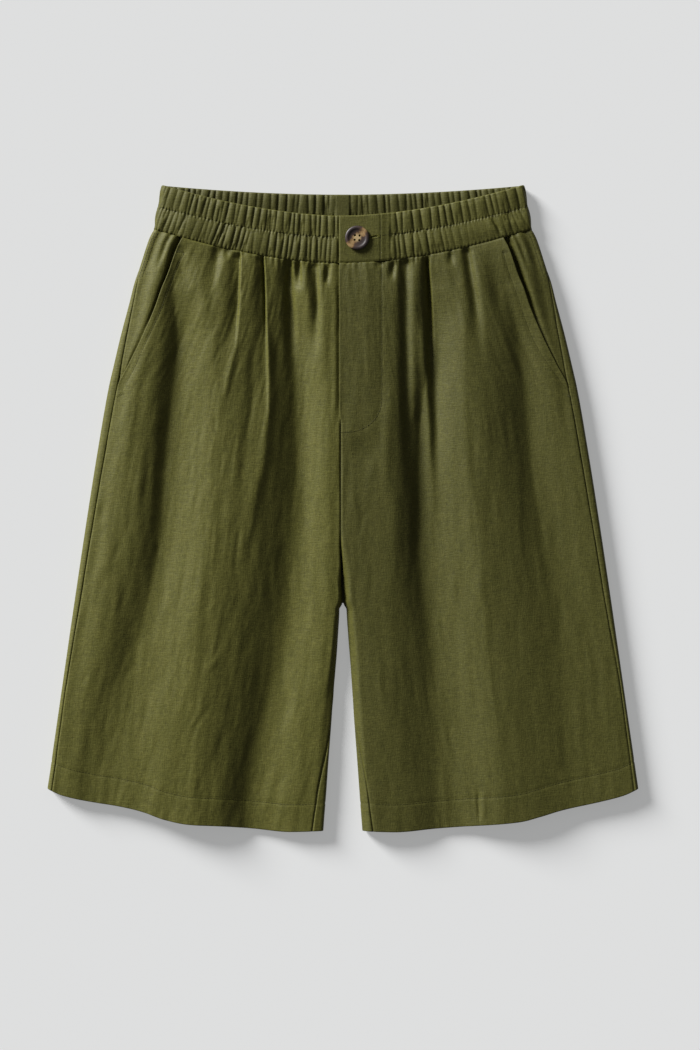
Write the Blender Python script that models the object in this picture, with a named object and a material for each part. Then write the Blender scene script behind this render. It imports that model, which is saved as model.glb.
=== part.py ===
"""Linen bermuda shorts with a shirred elastic waistband, laid flat on their back.

+X is the wearer's left, +Y runs from the hems to the waist, and the back rests on Z = 0.
The origin is at the bottom centre of the whole. Sizes are in millimetres until the
meshes are made, which are in metres.

The whole garment is one skin: a flattened tube with rolled edges that parts into two
legs. Each piece is a stretch of that skin between two seams, given its own wall.
"""

import math
from collections import namedtuple

import bmesh
import bpy
from mathutils import Vector

MM = 0.001

# Cloth and seams
CLOTH = 1.2  # a panel's wall
FRONT_BAND = 2.4  # the waistband's walls, cloth on both sides of the elastic
BACK_BAND = 2.2
GAP = 0.3  # between pieces at a seam
HEM_TURN = 24.0  # depth of the turned-up hem
HEM_EXTRA = 0.6  # what the turned-up cloth adds inside

# Lengths down the side, by Y on the side seam
SIDE_TOP = 281.0
SIDE_STITCH = 262.2
SIDE_WAIST = 242.7
SIDE_HEM = -242.7
POCKET_TIP = 109.5  # the pocket facing ends here
POCKET_END = 105.3  # and here the front meets the side seam
CROTCH_Y = -82.0

# How far the waist's curves dip below the side at the centre
FRONT_DIP_WAIST = 29.8
FRONT_DIP_STITCH = 27.0
FRONT_DIP_TOP = 27.0
BACK_DIP_WAIST = 10.7
BACK_DIP_STITCH = 7.2
BACK_DIP_TOP = 7.8
FRONT_DIP_POWER = 1.75
BACK_DIP_POWER = 1.9
DIP_ENDS = 0.0  # Y at which the rows have lost the waist's dip
DIP_FADE_POWER = 1.6
HEM_CURVE_STARTS = 60.0  # Y at which the rows begin to take the hem's curve

# Rolled edges
SIDE_ROLL = 4.75
CROTCH_ROLL = 3.0
HEM_ROLL = 4.2
ROLL_GROWS_OVER = 120.0
RAMP_START = 0.6  # of a roll's radius, where the cloth starts to rise to the crown
SIDE_RAMP = 24.0
INNER_RAMP = 10.0
GROOVE_LENGTH = 62.0  # the front falls into the crotch over this length
BACK_LIFT_LENGTH = 26.0  # the back rises to the crotch over this length
LEG_GAP_TOP = 2.2  # half gap between the legs just below the crotch
LEG_GAP_LENGTH = 9.0
LEG_SPREAD = 0.0747  # what the half gap grows by for each millimetre down

# Fly, the left front's edge lapped over the right front's
FLY_SEAM_X = -1.7
FLY_SEAM_LENGTH = 60.0
FLY_END = 73.0
FLY_LAP_LENGTH = 12.0
FLY_LAP_OVER = 1.3
FLY_LAP_UNDER = 1.2
FLY_RISE = 1.6
FLY_FLAT_X = 20.0
FLY_STITCH_X = 36.0
FLY_RISE_START = 45.0
FLY_RISE_LENGTH = 25.0

# Pocket facing
FACING_TUCK = 6.0  # how far it runs under the front
FACING_CLEAR = 1.0  # how far outside the mouth it is down already
FACING_DROP = 1.6  # how far it lies below the skin
FACING_SAG = 1.6  # and how much further between the seam and the mouth
FACING_SAG_START = 120.0
FACING_SAG_LENGTH = 50.0

# Waistband
TAB_X = -3.4
TAB_END_X = 40.5
TAB_RISE = 0.9
TAB_RAMP = 8.0
TAB_COLUMNS = 8
FRONT_GATHERS_RIGHT = 24
FRONT_GATHERS_LEFT = 18
BACK_GATHERS = 42
FRONT_GATHER_HEIGHT = 1.8
BACK_GATHER_HEIGHT = 1.3
COLUMNS_PER_GATHER = 4
FRONT_BAND_ROWS = (0.0, 0.5, 1.0, 1.5, 2.0)  # 0 waist seam, 1 middle stitching, 2 top
BACK_BAND_ROWS = (0.0, 1.0, 1.5, 2.0)

# Button
BUTTON_X = 12.4
BUTTON_Y = 234.5
BUTTON_RADIUS = 10.5
BUTTON_SEGMENTS = 36
HOLE_RADIUS = 0.9
HOLE_SPACING = 4.0
HOLE_SIDES = 10

# Mesh density
EDGE_STEPS = (0.0, 2.6, 5.2, 8.5, 13.0)
INNER_STEPS = (10.5, 7.0, 4.6, 2.3, 0.0)
FRONT_COLUMNS = 22
ROLL_COLUMNS = 7
FLOOR_COLUMNS = 5
INNER_ROLL_COLUMNS = 6
INNER_ROLL_LEAST = 6.0
PROBE = 0.4  # step for a direction on the skin

# One row for each section: Y on the side, half width of the whole, how far in from the
# edge the side seam lies, how far in the front panel's edge lies, and the top's height.
Section = namedtuple("Section", "y half_width seam_in front_in crown")
SECTIONS = (
    Section(281.0, 156.6, 0.0, 25.0, 11.4),
    Section(263.0, 160.4, 0.0, 25.0, 11.6),
    Section(244.5, 163.6, 0.0, 25.0, 11.3),
    Section(234.0, 168.3, 0.0, 25.0, 12.3),
    Section(208.0, 176.8, 0.0, 24.8, 13.7),
    Section(196.0, 180.9, 2.6, 24.2, 13.9),
    Section(180.0, 184.9, 3.6, 23.0, 13.9),
    Section(150.0, 192.8, 5.6, 18.7, 13.8),
    Section(125.0, 198.7, 6.8, 12.6, 13.6),
    Section(105.3, 203.2, 7.6, 7.6, 13.5),
    Section(51.0, 212.7, 7.2, 7.2, 13.3),
    Section(-1.0, 221.0, 6.6, 6.6, 13.1),
    Section(-79.0, 232.7, 5.4, 5.4, 12.8),
    Section(-157.0, 244.0, 3.5, 3.5, 12.5),
    Section(-244.5, 256.6, 4.2, 4.2, 11.8),
)

# The inseam's place, measured round the inner roll from its innermost line, + on top.
Inseam = namedtuple("Inseam", "y along")
INSEAMS = (
    Inseam(-82.0, 0.0),
    Inseam(-100.0, -1.8),
    Inseam(-140.0, -1.2),
    Inseam(-170.0, 0.0),
    Inseam(-186.0, 1.7),
    Inseam(-203.0, 4.3),
    Inseam(-220.0, 6.4),
    Inseam(-246.0, 9.5),
    Inseam(-280.0, 11.8),
)

# The hem's drop below the side, by the fraction of the half width, for each leg.
HemPoint = namedtuple("HemPoint", "across right left")
HEM_CURVE = (
    HemPoint(0.00, 36.2, 36.2),
    HemPoint(0.07, 36.6, 36.6),
    HemPoint(0.18, 37.4, 37.4),
    HemPoint(0.30, 34.8, 35.0),
    HemPoint(0.41, 32.2, 32.8),
    HemPoint(0.52, 30.5, 30.6),
    HemPoint(0.60, 26.6, 28.4),
    HemPoint(0.67, 20.4, 23.8),
    HemPoint(0.74, 16.0, 18.6),
    HemPoint(0.87, 10.4, 11.2),
    HemPoint(0.95, 5.6, 5.8),
    HemPoint(1.00, 0.0, 0.0),
)
HEM_DROP_INNER = 36.6

# Folds of the front: Y and X of each one's top and end, X halfway, its height (a trough
# is below zero) and its half width at the top and the end.
Fold = namedtuple("Fold", "name y_top y_end x_top x_mid x_end rise width_top width_end")
FOLDS = (
    Fold("right main trough", 218, -275, -51, -45, -81, -5.2, 8, 21),
    Fold("right outer pleat", 224, 128, -92, -96, -99, -4.2, 4.5, 9),
    Fold("right inner pleat", 222, 120, -71, -70, -68, -4.6, 4.5, 8),
    Fold("right fly trough", 216, 140, -25, -20, -31, -3.6, 5, 9),
    Fold("right short gather", 217, 190, -40, -39, -38, -2.0, 4, 5),
    Fold("right edge gather", 214, 190, -12, -13, -14, -1.6, 4, 5),
    Fold("right outer ridge", 212, -275, -100, -110, -130, 3.2, 12, 27),
    Fold("right side trough", 170, -168, -134, -149, -190, -3.4, 11, 17),
    Fold("right small trough", 160, -45, -76, -83, -96, -2.0, 8, 13),
    Fold("right inner ridge", 205, -275, -12, -20, -38, 1.8, 10, 16),
    Fold("left main trough", 218, -275, 55, 63, 98, -4.8, 6, 20),
    Fold("left inner pleat", 221, 118, 73, 73, 78, -4.4, 4.5, 9),
    Fold("left outer pleat", 229, 150, 107, 110, 115, -3.4, 5, 9),
    Fold("left short gather", 217, 192, 45, 43, 42, -1.8, 4, 5),
    Fold("left upper gather", 226, 200, 93, 94, 95, -1.8, 4, 5),
    Fold("left outer ridge", 215, -275, 108, 128, 164, 3.0, 14, 28),
    Fold("left side trough", 165, -140, 152, 178, 212, -3.2, 10, 16),
    Fold("left small trough", 140, -20, 80, 84, 92, -1.8, 7, 12),
    Fold("left inner ridge", 190, -275, 36, 38, 42, 2.0, 12, 18),
)
FOLD_START = 9.0  # a fold reaches its height over this length
FOLD_FADE = 0.3  # and loses it over this share of its own length

# A row of points across the garment: Y at the side, the dips, and the hem curve's share
Row = namedtuple("Row", "y front_dip back_dip hem")

LINEN = (0.083, 0.100, 0.030, 1.0)
HORN = (0.110, 0.062, 0.035, 1.0)
LINEN_ROUGHNESS = 0.9
HORN_ROUGHNESS = 0.3

QUARTER = math.pi / 2


def smooth(value):
    """0 below 0, 1 above 1, and an even S between."""
    value = min(max(value, 0.0), 1.0)
    return value * value * (3.0 - 2.0 * value)


def mix(first, last, share):
    return first + (last - first) * share


def spread(first, last, count):
    """`count` values from first to last, both included."""
    return [mix(first, last, k / (count - 1)) for k in range(count)]


def read(table, key, column, at):
    """The column's value where the key column equals `at`, on a smooth curve."""
    rows = sorted(table, key=lambda row: getattr(row, key))
    keys = [getattr(row, key) for row in rows]
    values = [getattr(row, column) for row in rows]
    at = min(max(at, keys[0]), keys[-1])
    index = next(i for i in range(len(keys) - 1) if at <= keys[i + 1])
    slopes = [(values[i + 1] - values[i]) / (keys[i + 1] - keys[i]) for i in range(len(keys) - 1)]

    def tangent(i):
        if i in (0, len(keys) - 1):
            return slopes[min(i, len(slopes) - 1)]
        before, after = slopes[i - 1], slopes[i]
        return 0.0 if before * after <= 0 else 2.0 * before * after / (before + after)

    span = keys[index + 1] - keys[index]
    t = (at - keys[index]) / span
    start = (1 + 2 * t) * (1 - t) ** 2 * values[index] + t * (1 - t) ** 2 * span * tangent(index)
    end = t * t * (3 - 2 * t) * values[index + 1] - t * t * (1 - t) * span * tangent(index + 1)
    return start + end


def section(y, column):
    return read(SECTIONS, "y", column, y)


def panel_row(y):
    """A row of the panels whose side is at Y = y."""
    dip = max(0.0, (y - DIP_ENDS) / (SIDE_WAIST - DIP_ENDS)) ** DIP_FADE_POWER
    span = HEM_CURVE_STARTS - (SIDE_HEM + HEM_TURN)
    hem = min(1.0, max(0.0, (HEM_CURVE_STARTS - y) / span)) ** 2
    return Row(y, FRONT_DIP_WAIST * dip, BACK_DIP_WAIST * dip, hem)


def band_row(up):
    """A row of the waistband: 0 at the waist seam, 1 at the stitching, 2 at the top."""
    low = int(up >= 1.0)
    sides = (SIDE_WAIST, SIDE_STITCH, SIDE_TOP)
    fronts = (FRONT_DIP_WAIST, FRONT_DIP_STITCH, FRONT_DIP_TOP)
    backs = (BACK_DIP_WAIST, BACK_DIP_STITCH, BACK_DIP_TOP)
    return Row(*(mix(table[low], table[low + 1], up - low) for table in (sides, fronts, backs)), 0.0)


def row_y(row, side, x, front):
    """Y of the row's point at x from the centre, on the front or the back."""
    across = min(1.0, abs(x) / section(row.y, "half_width"))
    drop = read(HEM_CURVE, "across", "left" if side > 0 else "right", across)
    if front:
        dip = row.front_dip * (1.0 - across**FRONT_DIP_POWER)
    else:
        dip = row.back_dip * (1.0 - across**BACK_DIP_POWER)
    return row.y - dip - row.hem * drop


def centre_y(row, front):
    """Y of the row at the centre, or at a leg's inner edge."""
    return row.y - (row.front_dip if front else row.back_dip) - row.hem * HEM_DROP_INNER


def front_end(side, y):
    """Where a front ends at the centre, measured from the centre towards its own side."""
    seam = FLY_SEAM_X * smooth((y - CROTCH_Y) / FLY_SEAM_LENGTH)
    lap = smooth((y - FLY_END) / FLY_LAP_LENGTH)
    if side < 0:
        return GAP / 2 - seam - FLY_LAP_UNDER * lap
    return GAP / 2 + seam - FLY_LAP_OVER * lap


def inner_edge(row, side, front):
    """The inner roll: its innermost x, its radius, the seam's place round it, the groove.

    The groove is 1 where the cloth comes down to the roll and 0 where it stays level.
    """
    y = centre_y(row, front)
    down = CROTCH_Y - y
    radius = mix(CROTCH_ROLL, HEM_ROLL, smooth(down / ROLL_GROWS_OVER))
    if down >= 0.0:
        x = GAP / 2 + LEG_GAP_TOP * smooth(down / LEG_GAP_LENGTH) + LEG_SPREAD * down
        return x, radius, read(INSEAMS, "y", "along", y), 1.0
    if front:
        level = smooth(-down / GROOVE_LENGTH)
        angle = QUARTER * level
        end = front_end(side, y)
        groove = 1.0 - level
    else:
        angle = -QUARTER * smooth(-down / BACK_LIFT_LENGTH)
        end = GAP / 2
        groove = 0.0
    return end - radius * (1.0 - math.cos(angle)), radius, radius * angle, groove


def path_length(row, side, front):
    """Round the skin from the outermost line to the innermost one."""
    x, radius, _, _ = inner_edge(row, side, front)
    straight = section(row.y, "half_width") - SIDE_ROLL - x - radius
    return straight + (SIDE_ROLL + radius) * QUARTER


def centre_along(row, side):
    """The way over the front from the outermost line to the centre seam or inseam."""
    return path_length(row, side, True) - inner_edge(row, side, True)[2]


def seam_along(distance):
    """The way over the skin to a line `distance` in from the edge, as seen from above."""
    if distance >= SIDE_ROLL:
        return SIDE_ROLL * QUARTER + distance - SIDE_ROLL
    return SIDE_ROLL * math.acos(1.0 - distance / SIDE_ROLL)


def fold_height(x, y):
    """What the folds add at a place on the front."""
    height = 0.0
    for fold in FOLDS:
        t = (fold.y_top - y) / (fold.y_top - fold.y_end)
        if not 0.0 < t < 1.0:
            continue
        strength = smooth((fold.y_top - y) / FOLD_START) * smooth((1.0 - t) / FOLD_FADE)
        bow = fold.x_mid - (fold.x_top + fold.x_end) / 2
        centre = mix(fold.x_top, fold.x_end, t) + 4.0 * bow * t * (1.0 - t)
        width = mix(fold.width_top, fold.width_end, t)
        height += fold.rise * strength * math.exp(-(((x - centre) / width) ** 2))
    return height


def skin(side, row, along):
    """A point of the outer face, `along` millimetres from the outermost line.

    Above zero the way leads over the front towards the centre, below zero under the back.
    """
    front = along >= 0.0
    edge = section(row.y, "half_width")
    inner, radius, _, groove = inner_edge(row, side, front)
    left_over = path_length(row, side, front) - abs(along)
    round_inner = left_over if front else -left_over
    if abs(along) <= SIDE_ROLL * QUARTER:
        angle = along / SIDE_ROLL
        x = edge - SIDE_ROLL * (1.0 - math.cos(angle))
        z = SIDE_ROLL * (1.0 + math.sin(angle))
    elif abs(round_inner) <= radius * QUARTER:
        angle = round_inner / radius
        x = inner + radius * (1.0 - math.cos(angle))
        z = radius * (1.0 + math.sin(angle))
    else:
        x = inner + radius + abs(round_inner) - radius * QUARTER
        across = (x - inner - radius) / (edge - SIDE_ROLL - inner - radius)
        z = mix(2.0 * radius, 2.0 * SIDE_ROLL, across) if round_inner > 0.0 else 0.0
    y = row_y(row, side, x, front)
    if z > (SIDE_ROLL if x > edge / 2 else radius):
        rise = section(row.y, "crown") - z
        if row.y <= SIDE_WAIST:
            rise += fold_height(side * x, y)
        outer_ramp = smooth((edge - x - RAMP_START * SIDE_ROLL) / SIDE_RAMP)
        inner_ramp = smooth((x - inner - RAMP_START * radius) / INNER_RAMP)
        z += rise * outer_ramp * mix(1.0, inner_ramp, groove)
    return Vector((side * x, y, z))


def normal(side, row, along):
    """The outward direction of the skin, the same for both sides of the waist seam."""
    if abs(row.y - SIDE_WAIST) < GAP:
        row = band_row(0.0)
    if row.y >= SIDE_WAIST:
        upper, lower = row._replace(y=row.y + PROBE), row._replace(y=row.y + PROBE / 4)
    else:
        upper, lower = panel_row(row.y + PROBE), panel_row(row.y - PROBE)
    across = skin(side, row, along + PROBE) - skin(side, row, along - PROBE)
    down = skin(side, lower, along) - skin(side, upper, along)
    return (across.cross(down) * side).normalized()


def face(side, row, along, *offsets):
    """The skin's point at `along`, moved out by each of the offsets."""
    point = skin(side, row, along)
    out = normal(side, row, along)
    return [point + out * offset for offset in offsets]


def add_mesh(name, points, faces, material):
    mesh = bpy.data.meshes.new(name)
    mesh.from_pydata([point * MM for point in points], [], faces)
    mesh.materials.append(material)
    built = bmesh.new()
    built.from_mesh(mesh)
    bmesh.ops.recalc_face_normals(built, faces=built.faces)
    built.to_mesh(mesh)
    built.free()
    mesh.shade_smooth()
    mesh.set_sharp_from_angle(angle=math.radians(50))
    obj = bpy.data.objects.new(name, mesh)
    bpy.context.scene.collection.objects.link(obj)
    return obj


def add_wall(name, rows, material):
    """A closed wall from rows of (outer, inner) pairs of points."""
    count, columns = len(rows), len(rows[0])
    points = [pair[layer] for layer in (0, 1) for row in rows for pair in row]

    def at(layer, i, j):
        return layer * count * columns + i * columns + j

    faces = []
    for i in range(count - 1):
        for j in range(columns - 1):
            faces.append((at(0, i, j), at(0, i + 1, j), at(0, i + 1, j + 1), at(0, i, j + 1)))
            faces.append((at(1, i, j), at(1, i, j + 1), at(1, i + 1, j + 1), at(1, i + 1, j)))
    for i in range(count - 1):
        for j in (0, columns - 1):
            faces.append((at(0, i, j), at(0, i + 1, j), at(1, i + 1, j), at(1, i, j)))
    for j in range(columns - 1):
        for i in (0, count - 1):
            faces.append((at(0, i, j), at(0, i, j + 1), at(1, i, j + 1), at(1, i, j)))
    return add_mesh(name, points, faces, material)


def crotch_row():
    """Y on the side of the row that meets the crotch."""
    low, high = SIDE_HEM, HEM_CURVE_STARTS
    while high - low > GAP / 100:
        middle = (low + high) / 2
        if centre_y(panel_row(middle), True) < CROTCH_Y:
            low = middle
        else:
            high = middle
    return low


def panel_sides():
    """Y on the side of each row that the panels share."""
    waist = [SIDE_WAIST - GAP / 2, 238.5, 232.0, 224.0, 214.0, 203.0, 191.0, 177.0]
    pocket = [162.0, 146.0, 130.0, 118.0, POCKET_TIP, POCKET_END]
    body = [84.0, 58.0, 31.0, 4.0, -24.0, -45.0, -60.0, crotch_row()]
    legs = [-80.0, -92.0, -115.0, -138.0, -155.0, -171.0, -186.0, -203.0]
    turned = SIDE_HEM + HEM_TURN
    return waist + pocket + body + legs + [turned + 1.5, turned - 1.5, SIDE_HEM + 11.0, SIDE_HEM]


def wall_of(row):
    return CLOTH + (HEM_EXTRA if row.y < SIDE_HEM + HEM_TURN else 0.0)


def fly_rise(x, y):
    """How much the fly lifts the left front over the right front's edge."""
    flat = smooth((FLY_STITCH_X - x) / (FLY_STITCH_X - FLY_FLAT_X))
    return FLY_RISE * flat * smooth((y - FLY_RISE_START) / FLY_RISE_LENGTH)


def front_panel(side, name, material):
    rows = []
    for y in panel_sides():
        row = panel_row(y)
        start = seam_along(section(y, "front_in")) + GAP / 2
        end = centre_along(row, side) - GAP / 2
        outer_part = [start + step for step in EDGE_STEPS]
        inner_part = [end - step for step in INNER_STEPS]
        middle = spread(outer_part[-1], inner_part[0], FRONT_COLUMNS)[1:-1]
        rows.append([])
        for along in outer_part + middle + inner_part:
            place = skin(side, row, along)
            lift = fly_rise(place.x, place.y) if side > 0 else 0.0
            rows[-1].append(face(side, row, along, lift, lift - wall_of(row)))
    return add_wall(name, rows, material)


def back_panel(side, name, material):
    rows = []
    for y in panel_sides():
        row = panel_row(y)
        length = path_length(row, side, False)
        _, radius, seam_round, _ = inner_edge(row, side, False)
        start = seam_along(section(y, "seam_in")) - GAP / 2
        end = -length - seam_round + GAP / 2
        floor_start = -SIDE_ROLL * QUARTER
        floor_end = max(end + INNER_ROLL_LEAST, radius * QUARTER - length)
        roll = spread(start, floor_start, ROLL_COLUMNS)
        floor = spread(floor_start, floor_end, FLOOR_COLUMNS)[1:-1]
        inner_roll = spread(floor_end, end, INNER_ROLL_COLUMNS)
        alongs = roll + floor + inner_roll
        rows.append([face(side, row, along, 0.0, -wall_of(row)) for along in alongs])
    return add_wall(name, rows, material)


def pocket_facing(side, name, material):
    """The triangle between the pocket's mouth and the side seam, tucked under the front."""
    rows = []
    for y in [side_y for side_y in panel_sides() if side_y > POCKET_END]:
        row = panel_row(y)
        seam = seam_along(section(y, "seam_in")) + GAP / 2
        mouth = seam_along(section(y, "front_in"))
        sag = FACING_SAG * smooth((y - FACING_SAG_START) / FACING_SAG_LENGTH)
        narrow = 1.0 - smooth((mouth - seam - FACING_CLEAR) / FACING_TUCK)
        rows.append([])
        for share in (0.0, 0.25, 0.5, 0.78, 1.0):
            along = mix(seam, mouth - FACING_CLEAR, share)
            down = max(narrow, smooth(share / 0.7))
            drop = down * (FACING_DROP + sag * math.sin(math.pi * share))
            rows[-1].append(face(side, row, along, -drop, -drop - CLOTH))
        for along in (mouth + FACING_TUCK / 2, mouth + FACING_TUCK):
            rows[-1].append(face(side, row, along, -FACING_DROP, -FACING_DROP - CLOTH))
    return add_wall(name, rows, material)


def gather_columns(start, end, count):
    """Places along the band, with each one's share of a gather and the gather's number."""
    pitches = [1.0 + 0.24 * math.sin(2.1 * k + 0.5) for k in range(count)]
    columns = []
    reached = 0.0
    for number, pitch in enumerate(pitches):
        for step in range(COLUMNS_PER_GATHER):
            share = step / COLUMNS_PER_GATHER
            place = mix(start, end, (reached + pitch * share) / sum(pitches))
            columns.append((place, share, number))
        reached += pitch
    return columns + [(end, 0.0, count)]


def gather_wave(share, number, up):
    """A gather's height from 0 to 1: a ridge that the stitching holds down."""
    from_middle = min(abs(up - 0.5), abs(up - 1.5))
    held = 1.0 - 0.75 * smooth(from_middle / 0.5)
    strength = 0.72 + 0.28 * math.sin(2.9 * number + (1.0 if up > 1.0 else 2.6))
    return math.sin(math.pi * share) ** 1.2 * strength * held


def seamed_band_row(up):
    """A waistband row, moved half a gap clear of the panels at the waist seam."""
    row = band_row(up)
    return row._replace(y=row.y + GAP / 2) if up == 0.0 else row


def front_waistband(side, count, name, material):
    rows = []
    for up in FRONT_BAND_ROWS:
        row = seamed_band_row(up)
        centre = centre_along(row, side) + front_end(side, centre_y(row, True))
        tab_edge = centre - side * TAB_X - GAP / 2
        gathered = tab_edge if side < 0 else centre - TAB_END_X
        rows.append([])
        for along, share, number in gather_columns(GAP / 2, gathered, count):
            wave = FRONT_GATHER_HEIGHT * gather_wave(share, number, up)
            rows[-1].append(face(side, row, along, wave, -FRONT_BAND))
        if side > 0:
            for along in spread(gathered, tab_edge, TAB_COLUMNS)[1:]:
                lift = TAB_RISE * smooth((along - gathered) / TAB_RAMP)
                rows[-1].append(face(side, row, along, lift, lift - FRONT_BAND))
    return add_wall(name, rows, material)


def back_waistband(name, material):
    """One piece from side seam to side seam, flat below, with its gathers inside."""
    rows = []
    for up in BACK_BAND_ROWS:
        row = seamed_band_row(up)
        edge = section(row.y, "half_width")
        roll = SIDE_ROLL * QUARTER
        half = edge - SIDE_ROLL + roll
        rows.append([])
        for place, share, number in gather_columns(GAP / 2 - half, half - GAP / 2, BACK_GATHERS):
            side = -1 if place < 0.0 else 1
            depth = BACK_BAND + BACK_GATHER_HEIGHT * gather_wave(share, number, up)
            along = abs(place) - half
            if -along <= roll:
                rows[-1].append(face(side, row, along, 0.0, -depth))
            else:
                x = edge - SIDE_ROLL + along + roll
                floor = Vector((side * x, row_y(row, side, x, False), 0.0))
                rows[-1].append([floor, floor + Vector((0.0, 0.0, depth))])
    return add_wall(name, rows, material)


def button_blank(material):
    """A turned disc with a raised rim, its middle on its own origin."""
    profile = (
        (0.0, 0.4),
        (BUTTON_RADIUS * 0.80, 0.0),
        (BUTTON_RADIUS * 0.96, 0.7),
        (BUTTON_RADIUS, 1.6),
        (BUTTON_RADIUS * 0.96, 2.5),
        (BUTTON_RADIUS * 0.86, 3.0),
        (BUTTON_RADIUS * 0.72, 2.75),
        (BUTTON_RADIUS * 0.58, 2.1),
        (0.0, 1.9),
    )
    points = [Vector((0.0, 0.0, profile[0][1]))]
    for radius, z in profile[1:-1]:
        for k in range(BUTTON_SEGMENTS):
            turn = 2.0 * math.pi * k / BUTTON_SEGMENTS
            points.append(Vector((radius * math.cos(turn), radius * math.sin(turn), z)))
    points.append(Vector((0.0, 0.0, profile[-1][1])))
    rings = len(profile) - 2
    last = 1 + (rings - 1) * BUTTON_SEGMENTS
    faces = []
    for k in range(BUTTON_SEGMENTS):
        after = (k + 1) % BUTTON_SEGMENTS
        faces.append((0, 1 + after, 1 + k))
        for low in range(1, last, BUTTON_SEGMENTS):
            high = low + BUTTON_SEGMENTS
            faces.append((low + k, low + after, high + after, high + k))
        faces.append((last + k, last + after, len(points) - 1))
    return add_mesh("button", points, faces, material)


def button(material):
    """The button, just clear of the tab, with its four holes cut through."""
    row = band_row(1.0)
    middle = centre_along(row, 1) + front_end(1, centre_y(row, True)) - BUTTON_X
    seat = skin(1, row, middle).z + TAB_RISE + GAP
    disc = button_blank(material)
    disc.location = Vector((BUTTON_X, BUTTON_Y, seat)) * MM
    for i in (-1, 1):
        for j in (-1, 1):
            offset = Vector((i, j, 0.0)) * HOLE_SPACING / 2 * MM
            bpy.ops.mesh.primitive_cylinder_add(
                vertices=HOLE_SIDES,
                radius=HOLE_RADIUS * MM,
                depth=BUTTON_RADIUS * MM,
                location=disc.location + offset,
            )
            cutter = bpy.context.object
            cutter.name = f"hole_cutter_{i}_{j}"
            cutter.hide_render = True
            cutter.display_type = "WIRE"
            cut = disc.modifiers.new(cutter.name, "BOOLEAN")
            cut.operation = "DIFFERENCE"
            cut.solver = "EXACT"
            cut.object = cutter
    return disc


def add_material(name, colour, roughness):
    material = bpy.data.materials.new(name)
    material.use_nodes = True
    shader = material.node_tree.nodes["Principled BSDF"]
    shader.inputs["Base Color"].default_value = colour
    shader.inputs["Roughness"].default_value = roughness
    shader.inputs["Metallic"].default_value = 0.0
    return material


for old in list(bpy.data.objects):
    bpy.data.objects.remove(old, do_unlink=True)

linen = add_material("linen", LINEN, LINEN_ROUGHNESS)
horn = add_material("horn", HORN, HORN_ROUGHNESS)

front_panel(-1, "front_right", linen)
front_panel(1, "front_left", linen)
back_panel(-1, "back_right", linen)
back_panel(1, "back_left", linen)
pocket_facing(-1, "pocket_facing_right", linen)
pocket_facing(1, "pocket_facing_left", linen)
front_waistband(-1, FRONT_GATHERS_RIGHT, "waistband_front_right", linen)
front_waistband(1, FRONT_GATHERS_LEFT, "waistband_front_left", linen)
back_waistband("waistband_back", linen)
button(horn)
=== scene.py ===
"""Linen bermuda shorts laid flat: fine shells, stitching, button, light and camera.

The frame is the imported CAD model: +X the wearer's left, +Y towards the waist, the back on
Z = 0. Sizes here are in millimetres until the meshes are made. A side is -1 for the wearer's
right and 1 for the left. `along` runs over the cloth from a leg's outermost line, + over the
front and - over the back. A pair for `step` is where it starts and how far it takes, and a
pair for `valley` is its depth and width.
"""

import math
from collections import namedtuple

import bpy
import numpy as np
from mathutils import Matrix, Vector
from mathutils.bvhtree import BVHTree


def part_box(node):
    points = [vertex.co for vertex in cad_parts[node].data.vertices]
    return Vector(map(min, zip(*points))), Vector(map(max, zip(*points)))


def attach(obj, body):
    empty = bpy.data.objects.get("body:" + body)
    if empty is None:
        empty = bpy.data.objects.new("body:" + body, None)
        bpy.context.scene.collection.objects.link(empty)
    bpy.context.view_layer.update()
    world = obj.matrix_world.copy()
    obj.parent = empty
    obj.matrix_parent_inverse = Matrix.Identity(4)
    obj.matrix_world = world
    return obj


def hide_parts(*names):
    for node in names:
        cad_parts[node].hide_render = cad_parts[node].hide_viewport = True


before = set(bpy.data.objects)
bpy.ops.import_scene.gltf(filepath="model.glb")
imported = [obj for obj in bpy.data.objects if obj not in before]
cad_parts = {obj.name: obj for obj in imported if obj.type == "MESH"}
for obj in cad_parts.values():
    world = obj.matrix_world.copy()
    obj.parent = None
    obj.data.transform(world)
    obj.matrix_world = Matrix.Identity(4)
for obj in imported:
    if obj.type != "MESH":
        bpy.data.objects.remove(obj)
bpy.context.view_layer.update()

MM = 0.001
QUARTER = math.pi / 2


# ---- small mathematics
def table(columns, *rows):
    """Rows with named columns."""
    row = namedtuple("TableRow", columns)
    return [row(*values) for values in rows]


def smooth(value):
    """0 below 0, 1 above 1, and an even S between."""
    value = np.clip(value, 0.0, 1.0)
    return value * value * (3.0 - 2.0 * value)


def step(value, start, length):
    """An even S from 0 at the start to 1 where the length ends. A length below 0 runs down."""
    return smooth((value - start) / length)


def bell(distance, width):
    """1 at no distance, and next to nothing two widths away."""
    return np.exp(-((distance / width) ** 2))


def mix(first, last, share):
    return first + (last - first) * share


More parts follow.
